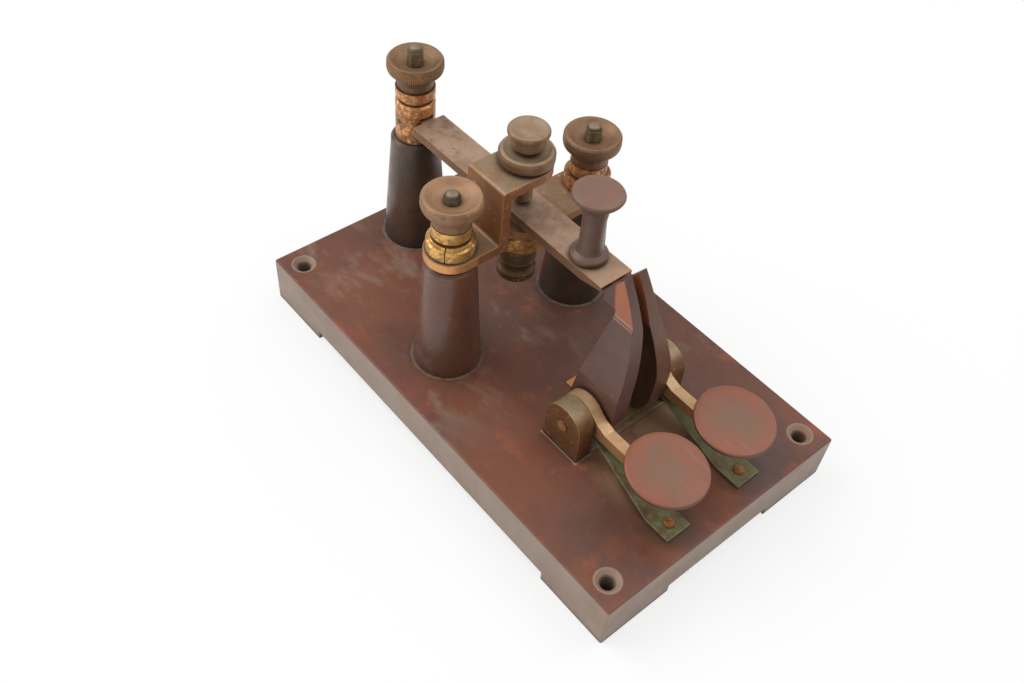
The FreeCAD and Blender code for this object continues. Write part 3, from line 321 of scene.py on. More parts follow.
def knob_marks(paint, colour):
    """Painted shade on the sides and foot of the knob; the top of its cap stays lighter."""
    # Painted shade: faces that look sideways, the stem under the cap among them, darker than the top
    stem = paint.both(paint.ramp(paint.facing("Z"), 0.75, 0.3), 0.75)
    colour = paint.mix(stem, colour, srgb(82, 60, 49))
    # Painted shade: darker on the foot flange and the stem just above it
    foot = paint.both(paint.past("Z", STEM_FOOT + 3, STEM_FOOT), 0.5)
    return paint.mix(foot, colour, srgb(84, 62, 50))


def claw_marks(side):
    """Orange faces by a claw's tip, inside and on the thinned outer flank; a painted highlight at the
    ledge; painted shade on the inner faces below the throat.
    """
    lean = -0.208

    def marks(paint, colour):
        outward = paint.math("MULTIPLY", paint.facing("X"), side)
        inward = paint.ramp(outward, -0.6, -0.8)
        inner = paint.both(inward, paint.past("Z", CLAW_THROAT - 1.0, CLAW_THROAT + 0.5))
        slanted = paint.math("MULTIPLY_ADD", paint.axis("Z"), lean, paint.axis("Y"))
        front = paint.ramp(slanted, -46.6 * MM, -48.0 * MM)
        above = paint.past("Z", CLAW_LEDGE - 0.8, CLAW_LEDGE + 0.2)
        outer = paint.both(paint.ramp(outward, 0.6, 0.8), above, front)
        mottle = paint.ramp(paint.noise(160, 4, 0.6), 0.2, 0.5, 0.6, 1.0)
        colour = paint.mix(paint.both(outer, mottle), colour, srgb(162, 98, 68))
        colour = paint.mix(paint.both(inner, mottle), colour, srgb(142, 78, 48))
        # Painted highlight: a pale band on the outer flank at the ledge
        rim = paint.both(outer, paint.past("Z", CLAW_LEDGE + 1.5, CLAW_LEDGE + 0.2), 0.6)
        colour = paint.mix(rim, colour, srgb(176, 150, 132))
        # Painted shade: the inner faces below the throat made nearly black
        hollow_shade = paint.both(inward, paint.past("Z", CLAW_THROAT, CLAW_THROAT - 2.0))
        colour = paint.mix(paint.both(hollow_shade, 0.9), colour, srgb(34, 20, 15))
        low = paint.both(paint.past("Z", 52, 30), 0.5)
        return paint.mix(low, colour, srgb(98, 60, 46))
    return marks


def old_brass(name, bare, brown, dark, wear=0.35, green=0.25, dents=0.0, shade=0.5, offset=0.0,
              bleached=None, golden=None, extra=None):
    """Patinated brass: brown film, painted shade on the flanks and in crevices, bare metal where rubbed,
    verdigris in corners.
    """
    paint = Paint(name)
    film = paint.ramp(paint.noise(90, 5, 0.65, offset=offset), 0.35, 0.68)
    colour = paint.mix(film, brown, dark)
    speckle = paint.ramp(paint.noise(620, 5, 0.75, offset=offset + 6), 0.45, 0.62, 0.0, 0.5)
    colour = paint.mix(speckle, colour, dark)
    if bleached:
        top = paint.both(paint.ramp(paint.facing("Z"), 0.6, 0.95),
                         paint.ramp(paint.noise(140, 5, 0.65, offset=offset + 9), 0.3, 0.6, 0.45, 1.0))
        colour = paint.mix(top, colour, bleached)
        spots = paint.ramp(paint.noise(330, 6, 0.75, offset=offset + 12), 0.56, 0.68, 0.0, 0.6)
        colour = paint.mix(paint.both(top, spots), colour, dark)
    # Painted shade: the flanks darker than the tops, by the shade amount
    flank = paint.math("MULTIPLY", paint.ramp(paint.facing("Z"), 0.8, 0.2), shade)
    colour = paint.mix(flank, colour, dark)
    cloud = paint.ramp(paint.noise(430, 6, 0.75, offset=offset + 2), 0.66 - wear * 0.35, 0.78 - wear * 0.3)
    rubbed = paint.math("MAXIMUM", cloud, paint.math("MULTIPLY", paint.edge(0.5), 0.65))
    rubbed = paint.math("MULTIPLY", rubbed, paint.ramp(paint.noise(700, 3, 0.6), 0.25, 0.6, 0.45, 1.0))
    if golden:
        band = paint.both(paint.ring(*golden, 0, 9.4), paint.ramp(paint.facing("Z"), 0.7, 0.3),
                          paint.ramp(paint.noise(420, 4, 0.6), 0.3, 0.55, 0.55, 1.0))
        colour = paint.mix(band, colour, srgb(184, 142, 78))
        rubbed = paint.math("MAXIMUM", rubbed, paint.math("MULTIPLY", band, 0.6))
    colour = paint.mix(rubbed, colour, bare)
    if extra:
        colour = extra(paint, colour)
    verdigris = paint.math("MULTIPLY", paint.crevice(3),
                           paint.ramp(paint.noise(330, 4, 0.7, offset=offset + 5), 0.45, 0.65, 0.0, green))
    colour = paint.mix(verdigris, colour, srgb(104, 116, 84))
    # Painted shade: darker in corners and crevices, from ambient occlusion
    corner_shade = paint.math("MULTIPLY", paint.crevice(2), 0.55)
    colour = paint.mix(corner_shade, colour, srgb(45, 33, 24))
    rough = paint.ramp(rubbed, 0.0, 1.0, 0.52, 0.34)
    metallic = paint.ramp(rubbed, 0.0, 1.0, 0.45, 0.9)
    normal = paint.bump(paint.noise(1100, 4, 0.65), 0.16, 0.2)
    if dents:
        normal = paint.bump(paint.cells(650), dents, 0.6, normal)
    return paint.finish(colour, rough, normal, metallic)


def lever_marks(paint, colour):
    """Rusty stains along the lever, and its rubbed front end."""
    stains = paint.ramp(paint.noise(120, 6, 0.75, stretch=(1, 0.6, 1), offset=31), 0.52, 0.66, 0.0, 0.55)
    colour = paint.mix(stains, colour, srgb(122, 84, 62))
    front = paint.both(paint.past("Y", -20, -30), paint.ramp(paint.facing("Z"), 0.6, 0.9))
    worn = paint.ramp(paint.noise(150, 5, 0.7, offset=33), 0.4, 0.6, 0.3, 0.8)
    return paint.mix(paint.both(front, worn), colour, srgb(198, 152, 118))


def tongue_marks(paint, colour):
    """Golden rubbed end of the frame's rear tongue."""
    return paint.mix(paint.both(paint.past("Y", -26.2, -25), 0.85), colour, srgb(206, 142, 74))


def verdigris_brass(name):
    """Brass sheet under a green crust with brown stains and bare corners."""
    paint = Paint(name)
    crust = paint.ramp(paint.noise(160, 5, 0.7), 0.36, 0.62)
    colour = paint.mix(crust, srgb(92, 72, 44), srgb(112, 114, 76))
    chalk = paint.ramp(paint.noise(520, 5, 0.75, offset=4), 0.52, 0.72, 0.0, 0.6)
    colour = paint.mix(chalk, colour, srgb(146, 140, 104))
    colour = paint.mix(paint.math("MULTIPLY", paint.edge(0.4), 0.6), colour, srgb(196, 186, 140))
    # Painted shade: darker in crevices, from ambient occlusion
    colour = paint.mix(paint.math("MULTIPLY", paint.crevice(3), 0.5), colour, srgb(70, 62, 40))
    rough = paint.ramp(crust, 0.0, 1.0, 0.5, 0.8)
    normal = paint.bump(paint.noise(900, 5, 0.7), 0.35, 0.2)
    return paint.finish(colour, rough, normal, 0.15)


def thumb_rubber(name, middle, offset):
    """Thumb disc: greyer centre, orange-brown towards the rim, painted shade on its side, faint scratches.
    """
    paint = Paint(name)
    distance = paint.away(*middle)
    wander = paint.math("MULTIPLY_ADD", paint.noise(90, 4, 0.6, offset=offset), 9 * MM, -4.5 * MM)
    outward = paint.ramp(paint.math("ADD", distance, wander), 3 * MM, 12.5 * MM)
    clouds = paint.ramp(paint.noise(70, 5, 0.6, offset=offset), 0.35, 0.65)
    centre = paint.mix(clouds, srgb(122, 86, 66), srgb(114, 84, 66))
    colour = paint.mix(outward, centre, srgb(134, 79, 57))
    red = paint.ramp(paint.noise(150, 4, 0.6, offset=offset + 4), 0.45, 0.7, 0.0, 0.6)
    colour = paint.mix(red, colour, srgb(146, 74, 48))
    dusk = paint.ramp(paint.noise(85, 4, 0.6, offset=offset + 8), 0.45, 0.75, 0.0, 0.4)
    colour = paint.mix(dusk, colour, srgb(104, 84, 66))
    colour = paint.mix(paint.math("MULTIPLY", paint.edge(0.9), 0.5), colour, srgb(170, 98, 66))
    # Painted shade: the disc's side darker than its face
    flank = paint.ramp(paint.facing("Z"), 0.8, 0.3)
    colour = paint.mix(flank, colour, srgb(70, 46, 34))
    hair = paint.ramp(paint.noise(420, 3, 0.5, stretch=(1, 0.15, 1), offset=offset), 0.6, 0.68, 0.0, 0.1)
    colour = paint.mix(hair, colour, srgb(176, 140, 118))
    rough = paint.ramp(paint.noise(120, 4, 0.6), 0.3, 0.7, 0.38, 0.52)
    normal = paint.bump(paint.noise(1300, 3, 0.6), 0.1, 0.2)
    return paint.finish(colour, rough, normal)


BARE_BRASS = srgb(222, 176, 104)
BARE_COPPER = srgb(222, 158, 104)


def make_rubbers():
    """Hard rubber of the base, posts, knob, claws and discs."""
    return {
        "base": hard_rubber("base_rubber", srgb(82, 52, 41), srgb(104, 60, 42), srgb(136, 116, 98),
                            patch=20, stain=0.35, rubbed=0.35, extra=base_marks),
        "black_post": hard_rubber("black_post_rubber", srgb(60, 48, 39), srgb(92, 66, 50),
                                  srgb(104, 90, 78), patch=40, stain=0.25, rough=(0.3, 0.42)),
        "brown_post": hard_rubber("brown_post_rubber", srgb(92, 62, 50), srgb(102, 60, 40),
                                  srgb(142, 116, 100), patch=40, stain=0.4, rough=(0.24, 0.36), offset=2),
        "knob": hard_rubber("knob_rubber", srgb(116, 88, 74), srgb(126, 90, 74), srgb(150, 126, 110),
                            patch=60, stain=0.25, rough=(0.36, 0.5), offset=5, extra=knob_marks),
        "left_claw": hard_rubber("left_claw_rubber", srgb(80, 58, 52), srgb(98, 68, 58),
                                 srgb(136, 114, 102), patch=34, stain=0.3, rough=(0.36, 0.5),
                                 rubbed=0.12, offset=9, extra=claw_marks(-1)),
        "right_claw": hard_rubber("right_claw_rubber", srgb(90, 60, 47), srgb(108, 72, 53),
                                  srgb(138, 112, 98), patch=34, stain=0.3, rough=(0.36, 0.5),
                                  rubbed=0.12, offset=14, extra=claw_marks(1)),
        "left_disc": thumb_rubber("left_disc_rubber", DISC_PLACES["left"], 1.0),
        "right_disc": thumb_rubber("right_disc_rubber", DISC_PLACES["right"], 6.0),
    }


def make_metals():
    """Brass in its shades, verdigris, steel and contact metal."""
    return {
        "nut": old_brass("nut_brass", BARE_BRASS, srgb(138, 104, 76), srgb(98, 72, 50), wear=0.15,
                         green=0.15, shade=0.3, bleached=srgb(136, 104, 76)),
        # Painted light: a lighter copy of the nut brass for the left nut
        "left_nut": old_brass("left_nut_brass", BARE_BRASS, srgb(166, 126, 92), srgb(122, 90, 64),
                              wear=0.15, green=0.15, shade=0.25, offset=13,
                              bleached=srgb(160, 124, 94)),
        "stud": old_brass("stud_brass", BARE_BRASS, srgb(104, 92, 74), srgb(62, 52, 38), wear=0.05,
                          bleached=srgb(140, 124, 106)),
        "copper": old_brass("head_brass", BARE_COPPER, srgb(184, 132, 86), srgb(130, 88, 54), wear=0.6,
                            green=0.1, dents=0.35, shade=0.25),
        "gold": old_brass("foot_brass", BARE_BRASS, srgb(178, 130, 76), srgb(134, 92, 50), wear=0.7,
                          green=0.2, dents=0.15, shade=0.2),
        "screw_gold": old_brass("spring_screw_brass", BARE_BRASS, srgb(170, 112, 60), srgb(120, 74, 40),
                                wear=0.3, offset=11),
        "lever": old_brass("lever_brass", BARE_COPPER, srgb(156, 118, 90), srgb(108, 76, 52),
                           wear=0.15, green=0.2, shade=0.7, offset=3, bleached=srgb(174, 146, 124),
                           extra=lever_marks),
        "bracket": old_brass("bracket_brass", BARE_COPPER, srgb(150, 106, 68), srgb(128, 82, 46),
                             wear=0.3, green=0.45, shade=0.55, offset=6, bleached=srgb(152, 130, 104),
                             golden=POST_PLACES["left"]),
        "screw": old_brass("screw_brass", BARE_BRASS, srgb(148, 114, 85), srgb(108, 78, 52), wear=0.1,
                           offset=8, bleached=srgb(156, 132, 108)),
        # Painted shade: a darker copy of the brass for parts that sit in shade
        "shade": old_brass("shaded_lower_brass", BARE_BRASS, srgb(106, 76, 46), srgb(68, 48, 28), wear=0.2,
                           green=0.15, offset=1),
        # Painted light: a lighter, more golden copy of the lower brass, for the lower lock nut's glints
        "bright": old_brass("lit_lock_brass", BARE_BRASS, srgb(168, 112, 56), srgb(104, 66, 34), wear=0.6,
                            green=0.1, shade=0.3, offset=2),
        "frame": old_brass("frame_brass", BARE_COPPER, srgb(142, 104, 68), srgb(104, 68, 40), wear=0.26,
                           green=0.6, shade=0.7, offset=7, bleached=srgb(152, 134, 106),
                           extra=tongue_marks),
        "arm": old_brass("arm_brass", BARE_COPPER, srgb(198, 160, 118), srgb(168, 126, 84), wear=0.45,
                         green=0.3, shade=0.6, offset=4, bleached=srgb(196, 164, 126)),
        "spring": verdigris_brass("spring_verdigris"),
        "steel": old_brass("tarnished_steel", srgb(170, 160, 150), srgb(104, 92, 82), srgb(70, 60, 52),
                           wear=0.3, green=0.0),
        "contact": old_brass("contact_metal", srgb(206, 200, 190), srgb(150, 140, 126),
                             srgb(110, 100, 90), wear=0.5, green=0.0),
    }


NODE_MATERIAL = {
    "base": "base", "rear_post": "black_post", "right_post": "black_post", "left_post": "brown_post",
    "rear_head": "copper", "rear_ring": "copper", "lever_pin": "shade",
    "left_washer": "gold", "left_ring": "gold",
    "right_collar": "copper", "right_ring": "copper",
    "upper_bracket": "bracket", "lower_bracket": "bracket",
    "lever": "lever", "lever_spring": "steel", "lever_spring_rivet": "lever",
    "lever_contact": "contact", "upper_contact_tip": "contact", "lower_contact_tip": "contact",
    "trigger_frame": "frame", "pivot_rod": "copper", "frame_screw_rear": "gold",
    "frame_screw_left": "steel", "frame_screw_right": "steel", "knob_screw": "steel",
    "left_arm": "arm", "right_arm": "arm", "left_hub": "arm", "right_hub": "arm",
    "left_claw_screw": "gold", "right_claw_screw": "gold",
    "left_claw": "left_claw", "right_claw": "right_claw",
    "left_disc_screw": "shade", "right_disc_screw": "shade",
    "left_spring": "spring", "right_spring": "spring",
    "rear_bolt": "stud", "rear_base_nut": "steel", "left_base_nut": "steel", "right_base_nut": "steel",
}


# Mesh helpers

def finish_mesh(name, mesh, material, body, replaced, sharp=35.0):
    """Piece in place of its nodes: smooth shading with sharp creases, a material and a body."""
    for face in mesh.polygons:
        face.use_smooth = True
    mesh.set_sharp_from_angle(angle=math.radians(sharp))
    mesh.materials.append(material)
    piece = bpy.data.objects.new(name, mesh)
    bpy.context.scene.collection.objects.link(piece)
    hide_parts(*replaced)
    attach(piece, body)
    return piece


ARC_STEPS = 5
# Depth of the four points that make one tooth of a knurl
KNURL_TOOTH = (1, 0.45, 0, 0.45)


def soften(profile):
    """(radius, height, round) corners with their arcs worked out."""
    points = []
    for i, (r, z, radius) in enumerate(profile):
        here = Vector((r, z))
        if radius <= 0 or i in (0, len(profile) - 1):
            points.append((r, z))
            continue
        before = Vector(profile[i - 1][:2]) - here
        after = Vector(profile[i + 1][:2]) - here
        turn = before.angle(after)
        reach = min(radius / math.tan(turn / 2), before.length * 0.49, after.length * 0.49)
        start = here + before.normalized() * reach
        end = here + after.normalized() * reach
        for k in range(ARC_STEPS + 1):
            t = k / ARC_STEPS
            point = (1 - t) ** 2 * start + 2 * t * (1 - t) * here + t * t * end
            points.append((point.x, point.y))
    return points


def mesh_from(work, name):
    """Mesh from finished bmesh work."""
    mesh = bpy.data.meshes.new(name)
    work.to_mesh(mesh)
    work.free()
    return mesh


def placed_mesh(work, name, centre):
    """Mesh from work in millimetres, moved to a centre and scaled to metres."""
    bmesh.ops.translate(work, verts=work.verts, vec=centre)
    bmesh.ops.scale(work, verts=work.verts, vec=(MM, MM, MM))
    return mesh_from(work, name)


def around(count):
    """Neighbouring index pairs of a closed ring."""
    return [(i, (i + 1) % count) for i in range(count)]


def lathe(points, centre, count=0, knurl=None, tilt=None):
    """Mesh turned about a vertical axis, with count sides or the knurl's.

    The knurl is (teeth, depth, lowest z, highest z)."""
    work = bmesh.new()
    if knurl:
        count = knurl[0] * len(KNURL_TOOTH)
    rows = []
    for r, z in points:
        on_axis = r < 1e-6
        if on_axis:
            rows.append([work.verts.new((0, 0, z))])
            continue
        row = []
        for i in range(count):
            radius = r
            if knurl and knurl[2] <= z <= knurl[3]:
                radius -= knurl[1] * KNURL_TOOTH[i % len(KNURL_TOOTH)]
            angle = 2 * math.pi * i / count
            row.append(work.verts.new((radius * math.cos(angle), radius * math.sin(angle), z)))
        rows.append(row)
    for low, high in zip(rows, rows[1:]):
        for i, j in around(count):
            if len(low) == 1:
                work.faces.new((low[0], high[j], high[i]))
            elif len(high) == 1:
                work.faces.new((low[i], low[j], high[0]))
            else:
                work.faces.new((low[i], low[j], high[j], high[i]))
    bmesh.ops.recalc_face_normals(work, faces=work.faces)
    if tilt:
        bmesh.ops.rotate(work, verts=work.verts, cent=(0, 0, 0), matrix=tilt)
    return placed_mesh(work, "turned", centre)


def threaded(centre, radius, depth, pitch, low, high, tip_top=True):
    """Rod with a helical thread and, if asked, a rounded top, as a mesh."""
    work = bmesh.new()
    count, rows_per_turn, crest_width, tip_drop, dome = 40, 6, 1.35, 1.5, 0.25
    total = int((high - low) / (pitch / rows_per_turn))
    rows = []
    for k in range(total + 1):
        z = low + (high - low) * k / total
        row = []
        for i in range(count):
            angle = 2 * math.pi * i / count
            phase = (z / pitch - i / count) % 1
            crest = 1 - abs(2 * phase - 1)
            r = radius - depth * (1 - min(1, crest * crest_width))
            if tip_top:
                r = min(r, radius - tip_drop + math.sqrt(max(0, (high - z) * tip_drop)))
            row.append(work.verts.new((r * math.cos(angle), r * math.sin(angle), z)))
        rows.append(row)
    for low_row, high_row in zip(rows, rows[1:]):
        for i, j in around(count):
            work.faces.new((low_row[i], low_row[j], high_row[j], high_row[i]))
    for row, bulge in ((rows[0], 0), (rows[-1], dome if tip_top else 0)):
        z = row[0].co.z
        inner = [work.verts.new((v.co.x * 0.6, v.co.y * 0.6, z + bulge * 0.8)) for v in row]
        middle = work.verts.new((0, 0, z + bulge))
        for i, j in around(count):
            work.faces.new((row[i], row[j], inner[j], inner[i]))
            work.faces.new((inner[i], inner[j], middle))
    bmesh.ops.recalc_face_normals(work, faces=work.faces)
    return placed_mesh(work, "threaded", centre)


def merged(meshes):
    """One mesh from several."""
    work = bmesh.new()
    for mesh in meshes:
        work.from_mesh(mesh)
        bpy.data.meshes.remove(mesh)
    return mesh_from(work, "merged")


# Nodes kept from the CAD model

EDGE_WIDTHS = {
    "base": 0.5, "upper_bracket": 0.35, "lower_bracket": 0.35, "lever": 0.3, "trigger_frame": 0.35,
    "left_arm": 0.7, "right_arm": 0.7, "left_claw": 0.6, "right_claw": 0.6, "left_spring": 0.15,
    "right_spring": 0.15, "rear_head": 0.25, "left_hub": 0.2, "right_hub": 0.2,
}
WELD_REACH = 0.008
FLAT_ANGLE, EDGE_ANGLE = math.radians(1.0), math.radians(32)


def round_edges(node, width):
    """Flat faces made whole and edges rounded, by modifiers."""
    weld = node.modifiers.new("weld", "WELD")
    weld.merge_threshold = WELD_REACH * MM
    flat = node.modifiers.new("flat_faces", "DECIMATE")
    flat.decimate_type = "DISSOLVE"
    flat.angle_limit = FLAT_ANGLE
    bevel = node.modifiers.new("soft_edges", "BEVEL")
    bevel.width = width * MM
    bevel.segments = 3
    bevel.limit_method = "ANGLE"
    bevel.angle_limit = EDGE_ANGLE
    shading = node.modifiers.new("shading", "WEIGHTED_NORMAL")
    shading.keep_sharp = True


def dress_nodes(materials):
    """Materials on the kept nodes, and softened edges."""
    for name, key in NODE_MATERIAL.items():
        node = nodes[name]
        node.data.materials.clear()
        node.data.materials.append(materials[key])
    for name, width in EDGE_WIDTHS.items():
        round_edges(nodes[name], width)


# New pieces

def terminal_nut(key, material):
    """Dished nut with a coved neck and a bulging, finely knurled rim."""
    node = f"{key}_terminal_nut"
    x, y, low, high, rim = bounds_mm(node)
    neck, bore, disc_height = 6.15, 2.76, 5.2
    disc = high - disc_height
    profile = soften([
        (bore, low, 0), (neck, low, 0.4), (neck, low + 2.6, 1.4), (rim - 1.6, disc + 0.1, 0.8),
        (rim - 0.35, disc + 0.9, 0.9), (rim, disc + 2.2, 1.2), (rim - 0.1, high - 0.8, 0.6),
        (rim - 0.8, high, 0.35), (rim - 1.6, high - 0.25, 0.6), (6.0, high - 1.6, 1.2),
        (4.2, high - 2.1, 0.8), (bore, high - 2.2, 0),
    ])
    teeth, depth = 84, 0.14 if key == "rear" else 0.05
    mesh = lathe(profile, (x, y, 0), knurl=(teeth, depth, disc + 0.6, high - 0.6))
    return finish_mesh(f"{key}_nut_knurled", mesh, material, f"{key}_nut", (node,), sharp=28)


def stud(key, material):
    """Stud with a cut thread at its exposed end."""
    node = f"{key}_stud"
    x, y, low, high, radius = bounds_mm(node)
    length, depth, pitch = 20, 0.24, 0.8
    start = high - length
    parts = [threaded((x, y, 0), radius, depth, pitch, start, high - 0.3)]
    if start > low + 1:
        shank = soften([(0, low, 0), (radius - 0.1, low, 0.3), (radius - 0.1, start + 0.2, 0),
                        (0, start + 0.2, 0)])
        parts.append(lathe(shank, (x, y, 0), count=48))
    return finish_mesh(f"{key}_stud_threaded", merged(parts), material, "stand", (node,), sharp=40)


def split_collar(material):
    """Left collar with a turned groove and a narrow slit at its front left."""
    x, y, low, high, rim = bounds_mm("left_collar")
    bore, slit, slit_turn = 2.72, 0.35, math.radians(-52)
    rows = [(bore, low, 0), (rim - 0.3, low, 0.2), (rim, low + 0.3, 0.2), (rim, high - 1.5, 0.3),
            (rim - 0.5, high - 1.1, 0.3), (rim - 0.9, high - 1.0, 0.2), (rim - 0.9, high - 0.3, 0.2),
            (rim - 1.2, high, 0.2), (bore, high, 0)]
    mesh = lathe(soften(rows), (x, y, 0), count=96)
    cutter = box_mesh((slit, 4.0, high - low + 2), (0, -rim, (low + high) / 2), slit_turn, (x, y))
    return finish_mesh("left_collar_split", carve(mesh, cutter), material, "stand", ("left_collar",))


def contact_screw(key, material):
    """Contact screw: threaded shank, a barrel and a turned head; the lower one stands on its head."""
    x, y, low, high, head = bounds_mm(f"{key}_contact_screw")
    core, depth, pitch = 2.98, 0.3, 0.9
    if key == "upper":
        barrel, barrel_height, head_height = 5.45, 4.1, 2.0
        edge = high - head_height
        start = edge - barrel_height
        rows = [(0, start, 0), (barrel - 0.5, start, 0.3), (barrel, start + 0.5, 0.3),
                (barrel, edge - 0.3, 0.3), (head - 0.5, edge, 0.3), (head, edge + 0.5, 0.5),
                (head, high - 0.6, 0.4), (head - 0.5, high, 0.3), (head - 1.2, high - 0.1, 0.5),
                (head - 2.5, high - 0.6, 0.8), (2.8, high - 0.75, 0.8), (1.6, high - 0.4, 0.8),
                (0, high - 0.3, 0)]
        shank = threaded((x, y, 0), core, depth, pitch, low, start + 0.2, tip_top=False)
        cap = lathe(soften(rows), (x, y, 0), count=96)
    else:
        barrel, barrel_height, head_height = 6.35, 9.4, 3.8
        edge = low + head_height
        start = edge + barrel_height
        rows = [(0, start, 0), (barrel - 0.6, start, 0.3), (barrel, start - 0.6, 0.3),
                (barrel, edge + 4.0, 0.3), (barrel - 0.5, edge + 3.6, 0.4), (barrel - 0.7, edge + 0.9, 0.6),
                (head - 0.5, edge + 0.15, 0.3), (head, edge - 0.5, 0.25), (head, low + 0.9, 0.5),
                (head - 1.0, low, 0.4), (0, low, 0)]
        shank = threaded((x, y, 0), core, depth, pitch, start - 0.2, high, tip_top=False)
        teeth, tooth = 64, 0.1
        cap = lathe(soften(rows), (x, y, 0), knurl=(teeth, tooth, edge + 4.1, start - 0.6))
    return finish_mesh(f"{key}_screw_turned", merged([shank, cap]), material, f"{key}_screw",
                       (f"{key}_contact_screw",), sharp=38)


def lock_nut(key, material):
    """Round lock nut with soft shoulders; the upper one is slightly dished."""
    x, y, low, high, rim = bounds_mm(f"{key}_lock_nut")
    bore = 3.05
    if key == "upper":
        rows = [(bore, low, 0), (rim - 1.0, low, 0.4), (rim - 0.1, low + 0.9, 0.5), (rim, low + 1.7, 0.4),
                (rim, high - 1.2, 0.5), (rim - 0.5, high - 0.35, 0.5), (rim - 1.4, high, 0.5),
                (rim - 2.4, high - 0.3, 0.5), (bore + 0.6, high - 0.45, 0.2), (bore, high - 0.7, 0)]
    else:
        rows = [(bore, low, 0), (rim - 1.3, low, 0.3), (rim - 0.4, low + 0.35, 0.3), (rim, low + 1.1, 0.4),
                (rim, high - 0.8, 0.3), (rim - 0.8, high, 0.3), (bore, high, 0)]
    mesh = lathe(soften(rows), (x, y, 0), count=120)
    return finish_mesh(f"{key}_lock_turned", mesh, material, f"{key}_lock", (f"{key}_lock_nut",), sharp=30)


def knob(material):
    """Mushroom knob: nearly flat cap on a cone, waisted stem, rounded foot flange."""
    x, y, low, high, cap = bounds_mm("knob")
    flange, stem = 6.05, 3.7
    rows = [
        (0, low, 0), (flange - 0.5, low, 0.2), (flange, low + 0.5, 0.5), (flange, low + 1.8, 0.7),
        (flange - 1.2, low + 2.7, 0.8), (stem + 0.7, low + 3.0, 0.5), (stem + 0.1, low + 4.4, 1.2),
        (stem, low + 9.0, 3.0), (stem, low + 15.0, 3.0), (stem + 0.5, high - 6.0, 1.5),
        (cap - 0.5, high - 2.3, 0.6), (cap, high - 1.5, 0.6),
        (cap - 0.5, high - 0.65, 0.6), (cap - 2.6, high - 0.12, 1.2), (0, high, 0),
    ]
    mesh = lathe(soften(rows), (x, y, 0), count=128)
    return finish_mesh("knob_turned", mesh, material, "lever", ("knob",), sharp=50)


def thumb_disc(key, material):
    """Thumb disc with a softly domed face and a rolled edge, tilted as the node is."""
    low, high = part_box(f"{key}_disc")
    middle = (low + high) / 2 / MM
    rim, thick, lean = 13.05, 2.0, math.radians(5.0)
    top = thick / 2
    rows = [(0, -top, 0), (rim - 0.6, -top, 0.3), (rim, -top + 0.5, 0.4), (rim, top - 0.7, 0.4),
            (rim - 0.45, top - 0.22, 0.4), (rim - 1.5, top - 0.04, 0.6), (rim - 5, top, 2), (0, top, 0)]
    tilt = Matrix.Rotation(lean, 3, "X")
    mesh = lathe(soften(rows), tuple(middle), count=128, tilt=tilt)
    return finish_mesh(f"{key}_disc_turned", mesh, material, f"{key}_trigger", (f"{key}_disc",), sharp=50)


def box_mesh(size, place, turn, about):
    """Box of a size in mm at a place from a vertical line, then turned about that line."""
    work = bmesh.new()
    bmesh.ops.create_cube(work, size=1.0)
    bmesh.ops.scale(work, verts=work.verts, vec=[length * MM for length in size])
    bmesh.ops.translate(work, verts=work.verts, vec=[step * MM for step in place])
    bmesh.ops.rotate(work, verts=work.verts, cent=(0, 0, 0), matrix=Matrix.Rotation(turn, 3, "Z"))
    bmesh.ops.translate(work, verts=work.verts, vec=(about[0] * MM, about[1] * MM, 0))
    return mesh_from(work, "box")


def slotted_head(name, node, height, slot, material, body, turn):
    """Domed screw head with a cut slot, on a plain shank."""
    x, y, low, high, head = bounds_mm(node)
    shank, seat = 1.45, high - height
    rows = [(0, low, 0), (shank - 0.05, low, 0.3), (shank, seat, 0), (head, seat, 0.1),
            (head, seat + 0.35, 0.3), (head * 0.72, seat + height * 0.85, 0.8), (0, high, 0)]
    mesh = lathe(soften(rows), (x, y, 0), count=64)
    cutter = box_mesh((slot, head * 3, height * 0.9), (0, 0, high), turn, (x, y))
    return finish_mesh(name, carve(mesh, cutter), material, body, (node,))


def carve(mesh, cutter_mesh):
    """The first mesh less the second."""
    stock = bpy.data.objects.new("stock", mesh)
    tool = bpy.data.objects.new("tool", cutter_mesh)
    for thing in (stock, tool):
        bpy.context.scene.collection.objects.link(thing)
    cut = stock.modifiers.new("cut", "BOOLEAN")
    cut.operation = "DIFFERENCE"
    cut.solver = "EXACT"
    cut.object = tool
    bpy.context.view_layer.update()
    shaped = bpy.data.meshes.new_from_object(stock.evaluated_get(bpy.context.evaluated_depsgraph_get()))
    for thing in (stock, tool):
        bpy.data.objects.remove(thing)
    return shaped


def make_pieces(materials):
    """All turned and slotted pieces that stand in for their nodes."""
    for key in ("rear", "left", "right"):
        terminal_nut(key, materials["left_nut" if key == "left" else "nut"])
        stud(key, materials["stud"])
    split_collar(materials["gold"])
    contact_screw("upper", materials["screw"])
    contact_screw("lower", materials["shade"])
    lock_nut("upper", materials["screw"])
    lock_nut("lower", materials["bright"])
    knob(materials["knob"])
    for key, turn in (("left", 0.9), ("right", 0.5)):
        thumb_disc(key, materials[f"{key}_disc"])
        slotted_head(f"{key}_spring_screw_slotted", f"{key}_spring_screw", height=1.2, slot=0.3,
                     material=materials["screw_gold"], body="stand", turn=turn)


# Stage, with places in metres

PAPER, BACKDROP = srgb(249, 249, 249), srgb(251, 251, 251)
GLOW_SHARE = 0.75
SKY_COLOUR, SKY_LEVEL, SKY_TOP = (1.0, 0.99, 0.98, 1.0), 0.36, 0.92
LAMP_AIM, LAMP_SIZE = (0, 0, 0.03), 1.1
WINDOW_PLACE, WINDOW_WATTS = (-0.55, 0.75, 0.95), 9.0
FILL_PLACE, FILL_WATTS = (0.7, -0.3, 1.0), 4.0


